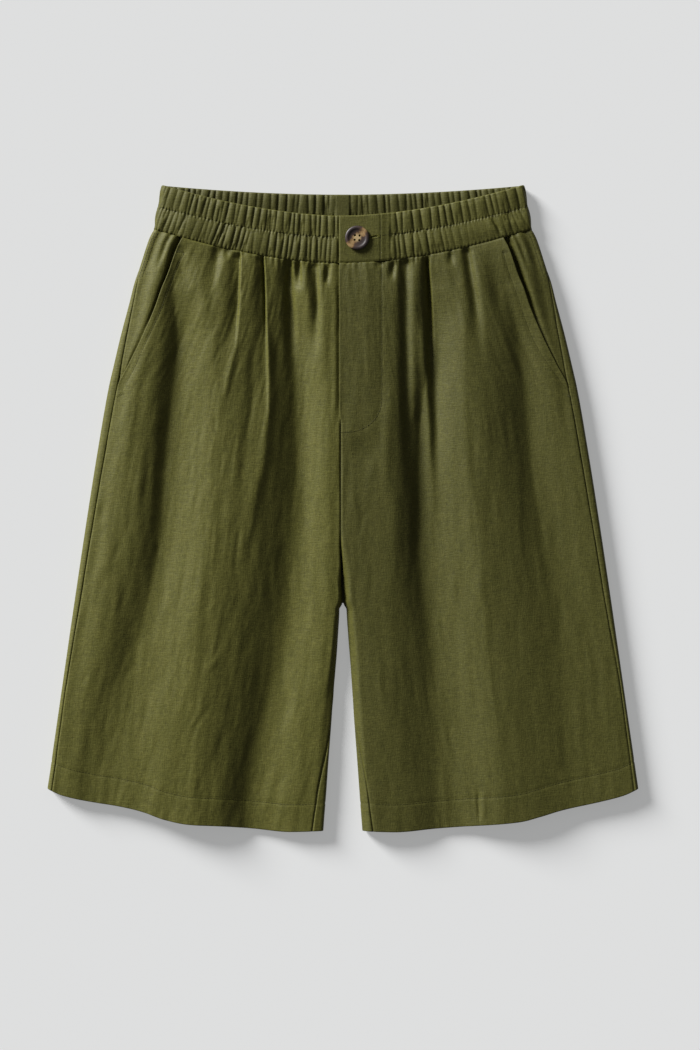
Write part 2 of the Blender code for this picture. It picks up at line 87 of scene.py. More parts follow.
def curve(keys, values, at):
    """A smooth curve through the values, level where they turn."""
    keys = np.asarray(keys, float)
    values = np.asarray(values, float)
    if keys[0] > keys[-1]:
        keys, values = keys[::-1], values[::-1]
    at = np.clip(at, keys[0], keys[-1])
    slopes = np.diff(values) / np.diff(keys)
    before, after = slopes[:-1], slopes[1:]
    same_way = before * after > 0
    tangents = np.concatenate(([slopes[0]], np.zeros(len(keys) - 2), [slopes[-1]]))
    total = np.where(same_way, before + after, 1.0)
    tangents[1:-1] = np.where(same_way, 2.0 * before * after / total, 0.0)
    index = np.clip(np.searchsorted(keys, at) - 1, 0, len(keys) - 2)
    span = keys[index + 1] - keys[index]
    t = (at - keys[index]) / span
    start = (1 + 2 * t) * (1 - t) ** 2 * values[index] + t * (1 - t) ** 2 * span * tangents[index]
    end = t * t * (3 - 2 * t) * values[index + 1] - t * t * (1 - t) * span * tangents[index + 1]
    return start + end


def read(rows, key, column, at):
    """A table's column where its key column equals `at`."""
    rows = sorted(rows, key=lambda row: getattr(row, key))
    return curve([getattr(r, key) for r in rows], [getattr(r, column) for r in rows], at)


def stations(*spans):
    """Places from spans of (start, end, spacing)."""
    values = []
    for start, end, spacing in spans:
        count = max(1, round(abs(end - start) / spacing))
        values += [mix(start, end, k / count) for k in range(count)]
    return np.array(values + [spans[-1][1]])


# ---- sizes
# The CAD's, apart from the inner ramps and those that say so
GAP = 0.06  # the shells' seams are closer than the solids'
HEM_TURN = 24.0
SIDE_WAIST = 242.7
SIDE_HEM = -242.7
HEM_LINE = SIDE_HEM + HEM_TURN
POCKET_END = 105.3
CROTCH_Y = -82.0
# At the waist seam, the middle stitching and the top
SIDE_LEVELS = (SIDE_WAIST, 262.2, 281.0)
FRONT_DIPS = (29.8, 27.0, 27.0)
BACK_DIPS = (10.7, 7.2, 7.8)
FRONT_DIP_POWER = 1.75
BACK_DIP_POWER = 1.9
DIP_ENDS = 0.0
DIP_FADE_POWER = 1.6
HEM_CURVE_STARTS = 60.0
SIDE_ROLL = 4.75
CROTCH_ROLL = 3.0
HEM_ROLL = 4.2
ROLL_GROWS_OVER = 120.0
ROLL_SQUARE = 0.62  # the shells' own: on a leg's +X side the front keeps level nearly to its outline
SIDE_RAMP = (0.6, 24.0)  # where the front rises from a roll, in radii, and over what length
# The shells' own fall to a leg's inner edge: at the crotch, and down the leg
INNER_RAMP_CROTCH = {-1: 1.6, 1: 6.0}
INNER_RAMP_LEG = {-1: 9.0, 1: 6.0}
INNER_RAMP_START = 0.3  # in radii
INNER_RAMP_GROWS = (CROTCH_Y - 10.0, -120.0)  # where the one goes over to the other
GROOVE_LENGTH = 62.0
BACK_LIFT_LENGTH = 26.0
LEG_GAP_TOP = 2.2
LEG_GAP_LENGTH = 3.5  # the shells part quicker than the solids
LEG_SPREAD = 0.0747
FLY_SEAM_X = -1.7
FLY_SEAM_LENGTH = 60.0
FLY_END = 73.0
FLY_LAP_LENGTH = 12.0
FLY_LAP = {-1: 1.2, 1: 1.3}  # how far each front passes under or over the other
FLY_RISE = 1.6
FLY_FLAT = (36.0, -16.0)
FLY_RISES = (45.0, 25.0)
TAB_X = -3.4
TAB_END_X = 40.5
TAB_RISE = 0.9
BUTTON_X = 12.4
BUTTON_Y = 234.5
BUTTON_RADIUS = 10.5

SECTIONS = table(
    "y half_width seam_in front_in crown",
    (281.0, 156.6, 0.0, 25.0, 11.4),
    (263.0, 160.4, 0.0, 25.0, 11.6),
    (244.5, 163.6, 0.0, 25.0, 11.3),
    (234.0, 168.3, 0.0, 25.0, 12.3),
    (208.0, 176.8, 0.0, 24.8, 13.7),
    (196.0, 180.9, 2.6, 24.2, 13.9),
    (180.0, 184.9, 3.6, 23.0, 13.9),
    (150.0, 192.8, 5.6, 18.7, 13.8),
    (125.0, 198.7, 6.8, 12.6, 13.6),
    (105.3, 203.2, 7.6, 7.6, 13.5),
    (51.0, 212.7, 7.2, 7.2, 13.3),
    (-1.0, 221.0, 6.6, 6.6, 13.1),
    (-79.0, 232.7, 5.4, 5.4, 12.8),
    (-157.0, 244.0, 3.5, 3.5, 12.5),
    (-244.5, 256.6, 4.2, 4.2, 11.8),
)

INSEAMS = table(
    "y along",
    (-82.0, 0.0),
    (-100.0, -1.8),
    (-140.0, -1.2),
    (-170.0, 0.0),
    (-186.0, 1.7),
    (-203.0, 4.3),
    (-220.0, 6.4),
    (-246.0, 9.5),
    (-280.0, 11.8),
)

HEM_CURVE = table(
    "across right left",
    (0.00, 36.2, 36.2),
    (0.07, 36.6, 36.6),
    (0.18, 37.4, 37.4),
    (0.30, 34.8, 35.0),
    (0.41, 32.2, 32.8),
    (0.52, 30.5, 30.6),
    (0.60, 26.6, 28.4),
    (0.67, 20.4, 23.8),
    (0.74, 16.0, 18.6),
    (0.87, 10.4, 11.2),
    (0.95, 5.6, 5.8),
    (1.00, 0.0, 0.0),
)
HEM_DROP_INNER = 36.6

# The broad folds: crest and trough lines in turn, by X and height at places down the front
FOLD_STATIONS = (190.0, 147.0, 60.0, -27.0, -114.0, -201.0, -250.0)
FOLD_LINES = table(
    "name side places heights",
    ("right side crest", -1,
     (-160, -164, -180, -191, -213, -240, -250), (0.6, 1.2, 1.6, 1.2, 0.0, -1.2, -1.2)),
    ("right side trough", -1,
     (-146, -143, -152, -158, -175, -200, -211), (-2.0, -4.8, -5.6, -5.4, -4.6, -3.8, -3.2)),
    ("right main crest", -1,
     (-122, -112, -106, -115, -127, -129, -132), (1.6, 3.0, 4.2, 4.6, 4.6, 4.4, 4.0)),
    ("right main trough", -1,
     (-45, -42, -39, -44, -52, -68, -77), (-5.5, -8.5, -9.2, -9.2, -9.0, -8.2, -7.2)),
    ("right inner crest", -1,
     (-32, -16, -13, -11, -16, -30, -40), (-1.0, -1.0, -0.8, -1.8, -2.6, -2.8, -2.6)),
    ("left inner crest", 1,
     (46, 45, 40, 37, 33, 34, 36), (0.4, 0.6, 1.8, 1.0, -0.4, -0.6, -0.6)),
    ("left main trough", 1,
     (75, 76, 67, 67, 79, 86, 90), (-4.0, -7.0, -8.8, -9.2, -8.8, -7.6, -6.6)),
    ("left main crest", 1,
     (112, 106, 108, 118, 125, 135, 140), (1.2, 1.8, 3.0, 2.8, 2.4, 2.0, 1.8)),
    ("left side trough", 1,
     (142, 153, 162, 175, 195, 201, 204), (-2.0, -5.6, -7.4, -6.0, -4.2, -3.0, -2.2)),
    ("left side crest", 1,
     (162, 177, 192, 212, 232, 244, 253), (-0.6, -2.2, -3.8, -4.0, -3.8, -2.8, -2.0)),
)
FALL_POWER = 2.5  # a fold is round over its crest and falls steeply to its trough
FALL_POWER_LOW = 2.2  # and lower down
FALL_SOFTENS = (120.0, -260.0)
TROUGH_RADIUS = 3.0  # at the waist, and lower down
TROUGH_RADIUS_LOW = 14.0
TROUGH_WIDENS = (-10.0, -150.0)
RISE_TO_CREST = 0.4  # how far a rising flank keeps its slope up to its crest
FOLDS_START = (222.0, -30.0)
LOWEST = 3.4  # the front stays this far above the surface, clear of the back
LOWEST_EASE = 0.8

# Pleats and short folds under the waist: a trough is below zero. The two widths are to its
# left and right as seen from above, grow is how much wider it is at its end, and start is
# the length over which it deepens.
PLEATS = table(
    "name y_top y_end x_top x_mid x_end rise left right grow start",
    ("right upper shade", 230, 168, -106.0, -112.5, -117, -2.5, 5.5, 4.0, 1.4, 7),
    ("right outer pleat", 224, 120, -89.4, -91.6, -96, -3.7, 6.0, 1.0, 1.9, 7),
    ("right inner pleat", 222, 60, -69.2, -66.7, -66, -3.2, 5.5, 0.8, 1.5, 7),
    ("right inner pleat's slit", 222, 146, -69.6, -67.6, -67, -3.0, 1.2, 0.7, 1.0, 7),
    ("right wide trough", 218, 100, -47.3, -44.6, -43, -4.4, 4.6, 2.8, 1.3, 7),
    ("right short gather a", 217, 186, -38.6, -37.6, -38, -2.8, 2.6, 1.5, 1.4, 7),
    ("right fly trough", 216, 118, -25.4, -22.4, -27, -3.6, 3.8, 2.2, 1.7, 7),
    ("right short gather b", 214, 190, -12.9, -13.3, -14, -2.6, 2.2, 1.6, 1.4, 7),
    ("right side dip", 230, 186, -143, -139, -136, -1.8, 5.0, 6.0, 1.4, 7),
    ("right seam gather", 229, 214, -101, -100, -100, -1.8, 2.4, 2.0, 1.4, 7),
    ("right long ridge", 168, -46, -68, -66, -92, 2.0, 5.2, 3.6, 1.3, 30),
    ("right long dip", 160, -14, -78, -81, -97, -1.2, 5.0, 4.5, 1.2, 45),
    ("right bright crease", 165, 84, -91, -96, -102, 1.1, 3.4, 2.6, 1.2, 30),
    ("left first trough", 219, -4, 54.5, 55.5, 60, -4.4, 5.4, 4.4, 1.2, 7),
    ("left middle ridge", 178, -30, 70.0, 74.0, 80, 3.0, 4.6, 3.6, 1.1, 35),
    ("left middle dip", 150, 10, 80, 81.5, 85, -1.9, 4.0, 4.5, 1.2, 40),
    ("left inner pleat", 221, 108, 73.3, 76.4, 78, -3.7, 4.2, 1.0, 1.9, 7),
    ("left inner pleat's slit", 220, 146, 73.0, 75.8, 77.0, -3.0, 1.4, 0.8, 1.3, 7),
    ("left outer pleat", 229, 128, 107.0, 114.4, 120, -3.8, 4.0, 2.8, 1.8, 7),
    ("left short gather a", 217, 196, 44.2, 43.6, 43, -3.0, 2.4, 1.6, 1.6, 7),
    ("left short gather b", 226, 208, 93, 94.0, 95, -2.2, 2.2, 1.8, 1.6, 7),
    ("left fan gather", 218, 206, 33.0, 32.0, 31, -0.9, 1.6, 1.6, 1.6, 7),
    ("left fly ridge", 112, -24, 38, 36.5, 34, 1.4, 5.0, 5.0, 1.2, 45),
    ("left upper crest", 222, 165, 84, 90, 92, 1.2, 8.0, 8.0, 1.2, 20),
    ("left outer shade", 226, 150, 128, 134, 140, -1.7, 7.0, 5.0, 1.3, 28),
)
PLEAT_FADE = 0.6

Row = namedtuple("Row", "y front_dip back_dip hem")


# ---- the garment's skin
def section(y, column):
    return read(SECTIONS, "y", column, y)


def panel_row(y):
    """The rows of the panels whose sides are at Y = y, one below the other."""
    y = np.asarray(y, float).reshape(-1, 1)
    dip = np.maximum(0.0, (y - DIP_ENDS) / (SIDE_WAIST - DIP_ENDS)) ** DIP_FADE_POWER
    span = HEM_CURVE_STARTS - HEM_LINE
    hem = np.clip((HEM_CURVE_STARTS - y) / span, 0.0, 1.0) ** 2
    return Row(y, FRONT_DIPS[0] * dip, BACK_DIPS[0] * dip, hem)


def band_row(up):
    """Rows of the waistband: 0 at the waist seam, 1 at the stitching, 2 at the top."""
    up = np.asarray(up, float).reshape(-1, 1)
    levels = [np.interp(up, (0, 1, 2), values) for values in (SIDE_LEVELS, FRONT_DIPS, BACK_DIPS)]
    return Row(*levels, 0.0 * up)


def row_y(row, side, x, front):
    """Where a row lies at each x: lower where the waist dips and the hem curves."""
    across = np.minimum(1.0, np.abs(x) / section(row.y, "half_width"))
    drop = read(HEM_CURVE, "across", "left" if side > 0 else "right", across)
    dip = row.front_dip * (1.0 - across**FRONT_DIP_POWER)
    back = row.back_dip * (1.0 - across**BACK_DIP_POWER)
    return row.y - np.where(front, dip, back) - row.hem * drop


def centre_y(row, front):
    return row.y - (row.front_dip if front else row.back_dip) - row.hem * HEM_DROP_INNER


def front_end(side, y):
    """How far from X = 0 a front ends at the centre seam and the fly."""
    seam = FLY_SEAM_X * step(y, CROTCH_Y, FLY_SEAM_LENGTH)
    return GAP / 2 + side * seam - FLY_LAP[side] * step(y, FLY_END, FLY_LAP_LENGTH)


def inner_edge(row, side, front):
    """Innermost x, roll radius, the seam's place round the roll, and the groove's share."""
    y = centre_y(row, front)
    down = CROTCH_Y - y
    radius = mix(CROTCH_ROLL, HEM_ROLL, smooth(down / ROLL_GROWS_OVER))
    leg_x = GAP / 2 + LEG_GAP_TOP * smooth(down / LEG_GAP_LENGTH) + LEG_SPREAD * down
    leg_seam = read(INSEAMS, "y", "along", y)
    if front:
        level = smooth(-down / GROOVE_LENGTH)
        angle, end, groove = QUARTER * level, front_end(side, y), 1.0 - level
    else:
        angle, end, groove = -QUARTER * smooth(-down / BACK_LIFT_LENGTH), GAP / 2, 0.0
    below = down >= 0.0
    x = np.where(below, leg_x, end - radius * (1.0 - np.cos(angle)))
    return x, radius, np.where(below, leg_seam, radius * angle), np.where(below, 1.0, groove)


def path_length(row, side, front):
    """The length over the cloth from the outermost to the innermost line."""
    x, radius, _, _ = inner_edge(row, side, front)
    straight = section(row.y, "half_width") - SIDE_ROLL - x - radius
    return straight + (SIDE_ROLL + radius) * QUARTER


def centre_along(row, side):
    return path_length(row, side, True) - inner_edge(row, side, True)[2]


def seam_along(distance):
    """Where a line on the front lies that is this far inside the outline in plan."""
    round_roll = SIDE_ROLL * np.arccos(np.clip(1.0 - distance / SIDE_ROLL, -1.0, 1.0))
    return np.where(distance >= SIDE_ROLL, SIDE_ROLL * QUARTER + distance - SIDE_ROLL, round_roll)


def between(x, y, x_first, x_last, first, last):
    """The cloth's height from one fold line to the next."""
    length = x_last - x_first
    t = np.clip((x - x_first) / length, 0.0, 1.0)
    power = mix(FALL_POWER, FALL_POWER_LOW, step(y, *FALL_SOFTENS))
    radius = mix(TROUGH_RADIUS, TROUGH_RADIUS_LOW, step(y, *TROUGH_WIDENS))
    from_trough = (1.0 - t) * length
    share = 1.0 - (np.hypot(from_trough, radius) - radius) / (np.hypot(length, radius) - radius)
    fall = mix(first, last, np.maximum(share, 0.0) ** power)
    rise = mix(smooth(t), t * t * (2.0 - t), RISE_TO_CREST)
    return np.where(last < first, fall, mix(first, last, rise))


def broad_folds(side, x, y):
    """The height of the broad folds at places on one half of the front."""
    lines = sorted((f for f in FOLD_LINES if f.side == side), key=lambda f: f.places[0])
    xs = [curve(FOLD_STATIONS, line.places, y) for line in lines]
    hs = [curve(FOLD_STATIONS, line.heights, y) for line in lines]
    height = hs[0]
    for k in range(len(lines) - 1):
        height = np.where(x >= xs[k], between(x, y, xs[k], xs[k + 1], hs[k], hs[k + 1]), height)
    return height * step(y, *FOLDS_START)


def pleat_height(x, y):
    """What the pleats and short folds under the waist add."""
    height = 0.0 * x
    for p in PLEATS:
        t = np.clip((p.y_top - y) / (p.y_top - p.y_end), 0.0, 1.0)
        strength = smooth((p.y_top - y) / p.start) * smooth((1.0 - t) / PLEAT_FADE)
        bow = p.x_mid - (p.x_top + p.x_end) / 2
        centre = mix(p.x_top, p.x_end, t) + 4.0 * bow * t * (1.0 - t)
        width = np.where(x < centre, p.left, p.right) * mix(1.0, p.grow, t)
        height += p.rise * strength * bell(x - centre, width)
    return height


def rolled(turn, flatter):
    """The cosine and sine of a roll, which may have a flatter fold's shoulder over the front."""
    flatter = flatter & (turn > 0.0)
    return [np.where(flatter, np.abs(v) ** ROLL_SQUARE, v) for v in (np.cos(turn), np.sin(turn))]


def skin(side, row, along):
    """Points of the outer face, `along` from the outermost line."""
    front = along >= 0.0
    edge = section(row.y, "half_width")
    over, under = inner_edge(row, side, True), inner_edge(row, side, False)
    inner, radius, _, groove = (np.where(front, a, b) for a, b in zip(over, under))
    length = np.where(front, path_length(row, side, True), path_length(row, side, False))
    left_over = length - np.abs(along)
    round_inner = np.where(front, left_over, -left_over)

    turn = np.clip(along / SIDE_ROLL, -QUARTER, QUARTER)
    inner_turn = np.clip(round_inner / radius, -QUARTER, QUARTER)
    flat_x = inner + radius + np.abs(round_inner) - radius * QUARTER
    across = (flat_x - inner - radius) / (edge - SIDE_ROLL - inner - radius)
    flat_z = np.where(round_inner > 0.0, mix(2.0 * radius, 2.0 * SIDE_ROLL, across), 0.0)
    on_side = np.abs(along) <= SIDE_ROLL * QUARTER
    on_inner = np.abs(round_inner) <= radius * QUARTER
    inner_cos, inner_sin = rolled(inner_turn, side < 0)
    side_cos, side_sin = rolled(turn, side > 0)
    x = np.where(on_inner, inner + radius * (1.0 - inner_cos), flat_x)
    z = np.where(on_inner, radius * (1.0 + inner_sin), flat_z)
    x = np.where(on_side, edge - SIDE_ROLL * (1.0 - side_cos), x)
    z = np.where(on_side, SIDE_ROLL * (1.0 + side_sin), z)

    y = row_y(row, side, x, front)
    on_top = z > np.where(x > edge / 2, SIDE_ROLL, radius)
    crown = section(row.y, "crown")
    folded = crown + broad_folds(side, side * x, y) + pleat_height(side * x, y)
    folded = LOWEST + LOWEST_EASE * np.logaddexp(0.0, (folded - LOWEST) / LOWEST_EASE)
    rise = np.where(row.y <= SIDE_WAIST, folded, crown) - z
    ramp_start, ramp_length = SIDE_RAMP
    outer_ramp = smooth((edge - x - ramp_start * SIDE_ROLL) / ramp_length)
    low = step(y, *INNER_RAMP_GROWS)
    ramp_length = mix(INNER_RAMP_CROTCH[side], INNER_RAMP_LEG[side], low)
    inner_ramp = smooth((x - inner - INNER_RAMP_START * radius) / ramp_length)
    z = z + np.where(on_top, rise * outer_ramp * mix(1.0, inner_ramp, groove), 0.0)
    return np.stack((side * x, y, z), axis=2)


def normals(points, side):
    """Outward unit normals of a grid whose rows run down and whose columns run inward."""
    out = np.cross(np.gradient(points, axis=1), np.gradient(points, axis=0)) * side
    return out / np.linalg.norm(out, axis=2, keepdims=True)


# ---- cloth detail
CLOTH = 0.7  # one layer of linen
FOLDED = 1.3  # two layers, at hems and pocket mouths
BAND = 2.6
EDGE_ROUND = 0.88  # how much of its half thickness a face turns in at a free edge
SEAM_VALLEY = (0.65, 0.55)
LATTICE = 128  # cells each way before the noise repeats

# The crumple's layers: height, bend and slant down the leg, and the cells' sizes; and how
# strong it is on each leg
CRINKLE_LAYERS = table(
    "height bend slant across along",
    (0.42, 1.6, 0.0, 14.0, 60.0),
    (0.30, 1.6, 0.06, 6.2, 34.0),
    (0.17, 1.6, -0.05, 3.4, 17.0),
    (0.08, 0.0, 0.0, 3.2, 5.0),
)
CRINKLE_BEND_CELLS = (30.0, 44.0)
CRINKLE = {-1: 0.95, 1: 0.72}

# Creases that show on their own: from one end to the other, with their height and width
CREASES = table(
    "x y x_end y_end height width",
    (-207, 7, -210, -15, -0.50, 2.6),
    (-194, -28, -198, -46, -0.45, 2.4),
    (-184, -6, -186, -24, -0.40, 2.2),
    (-161, -28, -160, -42, -0.45, 2.4),
    (-176, 34, -180, 8, 0.45, 3.0),
    (-204, -50, -209, -76, -0.40, 2.8),
    (-168, -48, -174, -82, 0.40, 3.2),
    (-188, -66, -194, -96, -0.45, 3.0),
    (-111, 83, -110, 66, -0.55, 1.8),
    (-97, 124, -103, 92, 0.70, 2.4),
    (-104, 60, -106, 28, -0.35, 2.2),
    (-89, -12, -91, -36, -0.50, 2.0),
    (-76, -2, -84, -34, 0.45, 2.8),
    (-104, -124, -122, -146, 0.50, 2.4),
    (-111, -166, -134, -196, -0.45, 2.2),
    (-123, -178, -132, -190, 0.40, 2.0),
    (-184, -134, -189, -148, -0.50, 2.4),
    (-220, -138, -226, -154, -0.45, 2.2),
    (-196, -186, -200, -206, -0.45, 2.6),
    (-214, -180, -216, -202, 0.40, 2.8),
    (-170, -110, -178, -150, 0.40, 3.6),
    (-60, 40, -56, 12, 0.35, 3.0),
    (-36, 20, -32, -20, -0.35, 2.6),
    (-30, -96, -34, -140, 0.35, 2.6),
    (-46, -150, -52, -192, -0.30, 2.8),
    (-84, -92, -92, -128, 0.30, 3.4),
    (-148, 60, -154, 28, -0.40, 2.6),
    (-130, 20, -134, -14, 0.30, 3.2),
    (6, 20, 14, -10, 0.40, 2.6),
    (20, 2, 14, -24, -0.45, 2.2),
    (28, 46, 24, 22, 0.35, 2.6),
    (30, -120, 34, -176, 0.50, 3.4),
    (48, -130, 50, -184, -0.35, 3.0),
    (108, 10, 110, -30, 0.35, 3.0),
    (112, 62, 116, 40, -0.35, 2.4),
    (118, -46, 120, -86, 0.35, 3.2),
    (150, -90, 154, -150, -0.35, 3.4),
    (168, -30, 172, -80, 0.30, 3.2),
    (140, 90, 146, 52, -0.40, 2.6),
    (188, -70, 190, -118, -0.35, 3.2),
    (126, -130, 130, -190, 0.30, 3.6),
    (206, -150, 208, -196, 0.30, 3.0),
    (92, -176, 94, -214, -0.30, 3.2),
    (62, 96, 60, 70, 0.35, 2.4),
    (116.5, -238, 118.6, -276, -0.9, 1.7),
    (121.5, -242, 123.0, -270, 0.5, 2.2),
)
CREASE_ENDS = 0.4  # the share of its length over which a crease starts and ends


def rounded(distance, thickness):
    """How far a face turns in near a free edge, so that the edge is round."""
    half = thickness / 2
    t = np.clip(1.0 - distance / half, 0.0, 1.0)
    return EDGE_ROUND * half * (1.0 - np.sqrt(1.0 - t * t))


def valley(distance, depth, width):
    """The dip of the cloth at a seam or under a row of stitching."""
    return -depth * bell(distance, width)


def lattice(seed, u, v, cell_u, cell_v):
    """Smooth noise from -1 to 1 with cells of the given size."""
    values = np.random.default_rng(seed).uniform(-1.0, 1.0, (LATTICE, LATTICE))
    a, b = u / cell_u, v / cell_v
    i, j = np.floor(a).astype(int), np.floor(b).astype(int)
    s, t = smooth(a - i), smooth(b - j)

    def at(di, dj):
        return values[(i + di) % LATTICE, (j + dj) % LATTICE]

    return mix(mix(at(0, 0), at(1, 0), s), mix(at(0, 1), at(1, 1), s), t)


def crinkle(seed, u, v):
    """Linen's own fine crumple, in streaks along the leg."""
    bend = lattice(seed + 5, u, v, *CRINKLE_BEND_CELLS)
    height = 0.0
    for k, layer in enumerate(CRINKLE_LAYERS):
        at = u + layer.bend * bend + layer.slant * v
        height += layer.height * lattice(seed + k, at, v, layer.across, layer.along)
    return height


def creases(x, y, rows):
    """The height of separate creases."""
    height = 0.0 * x
    for c in rows:
        dx, dy = c.x_end - c.x, c.y_end - c.y
        length = math.hypot(dx, dy)
        t = ((x - c.x) * dx + (y - c.y) * dy) / length**2
        across = ((x - c.x) * dy - (y - c.y) * dx) / length
        ends = smooth(t / CREASE_ENDS) * smooth((1.0 - t) / CREASE_ENDS)
        height += c.height * ends * bell(across, c.width)
    return height


# ---- gathers of the waistband
# How strong they are across the front: in the two channels and below the waist seam
GATHER_SHARES = table(
    "x lower upper below",
    (-165, 0.9, 0.8, 0.0),
    (-150, 1.0, 1.0, 0.25),
    (-138, 0.55, 1.0, 0.05),
    (-118, 0.45, 1.0, 0.10),
    (-104, 1.0, 1.0, 0.55),
    (-84, 0.9, 0.9, 0.45),
    (-72, 0.5, 0.9, 0.30),
    (-58, 1.0, 1.0, 0.9),
    (-30, 1.1, 0.95, 1.0),
    (-4, 0.9, 0.8, 0.8),
    (38, 0.5, 0.5, 0.4),
    (48, 1.0, 0.95, 0.8),
    (72, 1.0, 1.0, 0.8),
    (82, 0.75, 1.0, 0.5),
    (90, 0.5, 0.95, 0.3),
    (104, 0.45, 1.0, 0.2),
    (113, 0.12, 1.0, 0.05),
    (127, 0.12, 0.8, 0.05),
    (136, 0.4, 0.7, 0.1),
    (146, 0.9, 1.0, 0.2),
    (165, 0.8, 0.9, 0.0),
)

# Folds of the waistband that show on their own
BAND_CREASES = table(
    "x y x_end y_end height width",
    (127.0, 255.0, 138.5, 236.8, -1.5, 1.5),
    (124.5, 253.0, 134.0, 236.0, 0.5, 2.4),
    (39.4, 254.0, 41.4, 214.0, -0.8, 1.5),
)

PUFF = 1.3
PUFF_PLAIN = 0.6  # the puff that stays where there are no gathers
Valley = namedtuple("Valley", "low high start end depth width")
VALLEY_RADIUS = 0.28
VALLEY_DEPTHS = (0.85, 1.85)
VALLEY_WIDTHS = (1.0, 1.9)
VALLEY_STRIDES = (0.66, 1.38)  # from one to the next, in pitches
VALLEY_LEAN = 0.10
VALLEY_HELD = 0.62  # how deep it stays where the rows of stitching hold it
VALLEY_ENDS_OVER = 0.22
PAST_LOW, PAST_HIGH = -1.0, 2.0  # a valley that runs past both rows
# A short valley may lie between two long ones
SHORT_CHANCE = 0.45
SHORT_PLACES = (0.42, 0.58)
SHORT_REACHES = (0.25, 0.60)
SHORT_LEAN = 0.12
SHORT_DEPTH = 0.6
SHORT_WIDTH = 1.1
SLANT_FADE = 0.85
CHANNEL_END = 2.4  # the last valley stays this far from the channel's inner end
PUCKER_WANDER = 0.9
PUCKER_CELL = 9.0
# Pitch, height and reach of the small tucks where elastic is stitched through
PUCKERS_STITCHING = (2.9, 0.28, 1.5)
PUCKERS_SEAM = (3.2, 0.24, 1.8)


def channel_valleys(seed, length, pitch, slant):
    """Valleys of one elastic channel: their places at its two rows, and how far they run."""
    rng = np.random.default_rng(seed)
    found = []
    place = pitch * 0.5
    while place < length - CHANNEL_END:
        steady = slant * (1.0 - SLANT_FADE * place / length)
        lean = rng.normal(0.0, VALLEY_LEAN) * pitch + steady
        depth = rng.uniform(*VALLEY_DEPTHS)
        width = rng.uniform(*VALLEY_WIDTHS)
        found.append(Valley(place - lean, place + lean, PAST_LOW, PAST_HIGH, depth, width))
        stride = pitch * rng.uniform(*VALLEY_STRIDES)
        if rng.uniform() < SHORT_CHANCE:
            middle = place + stride * rng.uniform(*SHORT_PLACES)
            reach = rng.uniform(*SHORT_REACHES)
            from_low = rng.uniform() < 0.5
            ends = (PAST_LOW, reach) if from_low else (1.0 - reach, PAST_HIGH)
            lean = rng.normal(0.0, SHORT_LEAN) * pitch + steady
            found.append(Valley(middle - lean, middle + lean, *ends, SHORT_DEPTH * depth, SHORT_WIDTH))
        place += stride
    return found


def channel_height(valleys, u, v, shares):
    """The gathered surface of a channel, v from 0 at its lower row to 1 at its upper."""
    bulge = np.sin(math.pi * np.clip(v, 0.0, 1.0))
    held = mix(VALLEY_HELD, 1.0, bulge)
    height = PUFF * bulge * mix(PUFF_PLAIN, 1.0, shares)
    for line in valleys:
        away = np.hypot(u - mix(line.low, line.high, v), VALLEY_RADIUS) - VALLEY_RADIUS
        run = step(v, line.start, VALLEY_ENDS_OVER) * step(v, line.end, -VALLEY_ENDS_OVER)
        height = height - line.depth * shares * held * run * np.exp(-away / line.width)
    return height


def puckers(seed, u, distance, pitch, height, reach):
    """Small tucks along a row of stitching."""
    wander = PUCKER_WANDER * lattice(seed, u, 0.0 * u, PUCKER_CELL, 1.0)
    return height * np.sin(2.0 * math.pi * (u + wander) / pitch) * bell(distance, reach)


# ---- meshes
FINE_EDGE = np.array((0.0, 0.09, 0.28, 0.62, 1.1, 1.8, 2.7))  # columns near an edge
LINE_STEP = 0.25  # how finely a smooth line is walked, and its fewest points
LINE_LEAST = 24
DISTANCE_STEP = 2.0  # how finely a line is walked when the distance to it is measured


def add_object(name, points, faces, material):
    """A smooth mesh from points in millimetres, in the root body."""
    mesh = bpy.data.meshes.new(name)
    mesh.from_pydata((np.asarray(points) * MM).tolist(), [], faces)
    mesh.materials.append(material)
    mesh.update()
    mesh.shade_smooth()
    obj = bpy.data.objects.new(name, mesh)
    bpy.context.scene.collection.objects.link(obj)
    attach(obj, "root")
    return obj


def grid_faces(rows, columns, flip):
    """The faces of a closed wall whose outer and inner grids follow each other."""
    index = np.arange(rows * columns).reshape(rows, columns)
    below = index + rows * columns

    def quads(a, b, c, d):
        return np.stack((a.ravel(), b.ravel(), c.ravel(), d.ravel()), axis=1)

    def patch(grid):
        return quads(grid[:-1, :-1], grid[1:, :-1], grid[1:, 1:], grid[:-1, 1:])

    def edge(a, b):
        return quads(a[:-1], a[1:], b[1:], b[:-1])

    faces = np.concatenate(
        (
            patch(index),
            patch(below)[:, ::-1],
            edge(below[:, 0], index[:, 0]),
            edge(index[:, -1], below[:, -1]),
            edge(index[0], below[0]),
            edge(below[-1], index[-1]),
        )
    )
    return (faces[:, ::-1] if flip else faces).tolist()


def add_wall(name, outer, inner, side, material):
    rows, columns = outer.shape[:2]
    points = np.concatenate((outer.reshape(-1, 3), inner.reshape(-1, 3)))
    return add_object(name, points, grid_faces(rows, columns, side < 0), material)


def shell(name, side, base, height, thickness, turn_in, material):
    """A thin wall on the base grid, with its detail and rounded free edges."""
    out = normals(base, side)
    outer = base + out * (height - turn_in)[..., None]
    inner = base + out * (height - thickness + turn_in)[..., None]
    return add_wall(name, outer, inner, side, material)


def columns_at(start, end, shares):
    """Places from start to end in each row, at these shares of the way between the edges."""
    last = FINE_EDGE[-1]
    inside = start + last + shares * (end - start - 2 * last)
    return np.concatenate((start + FINE_EDGE, inside, end - FINE_EDGE[::-1]), axis=1)


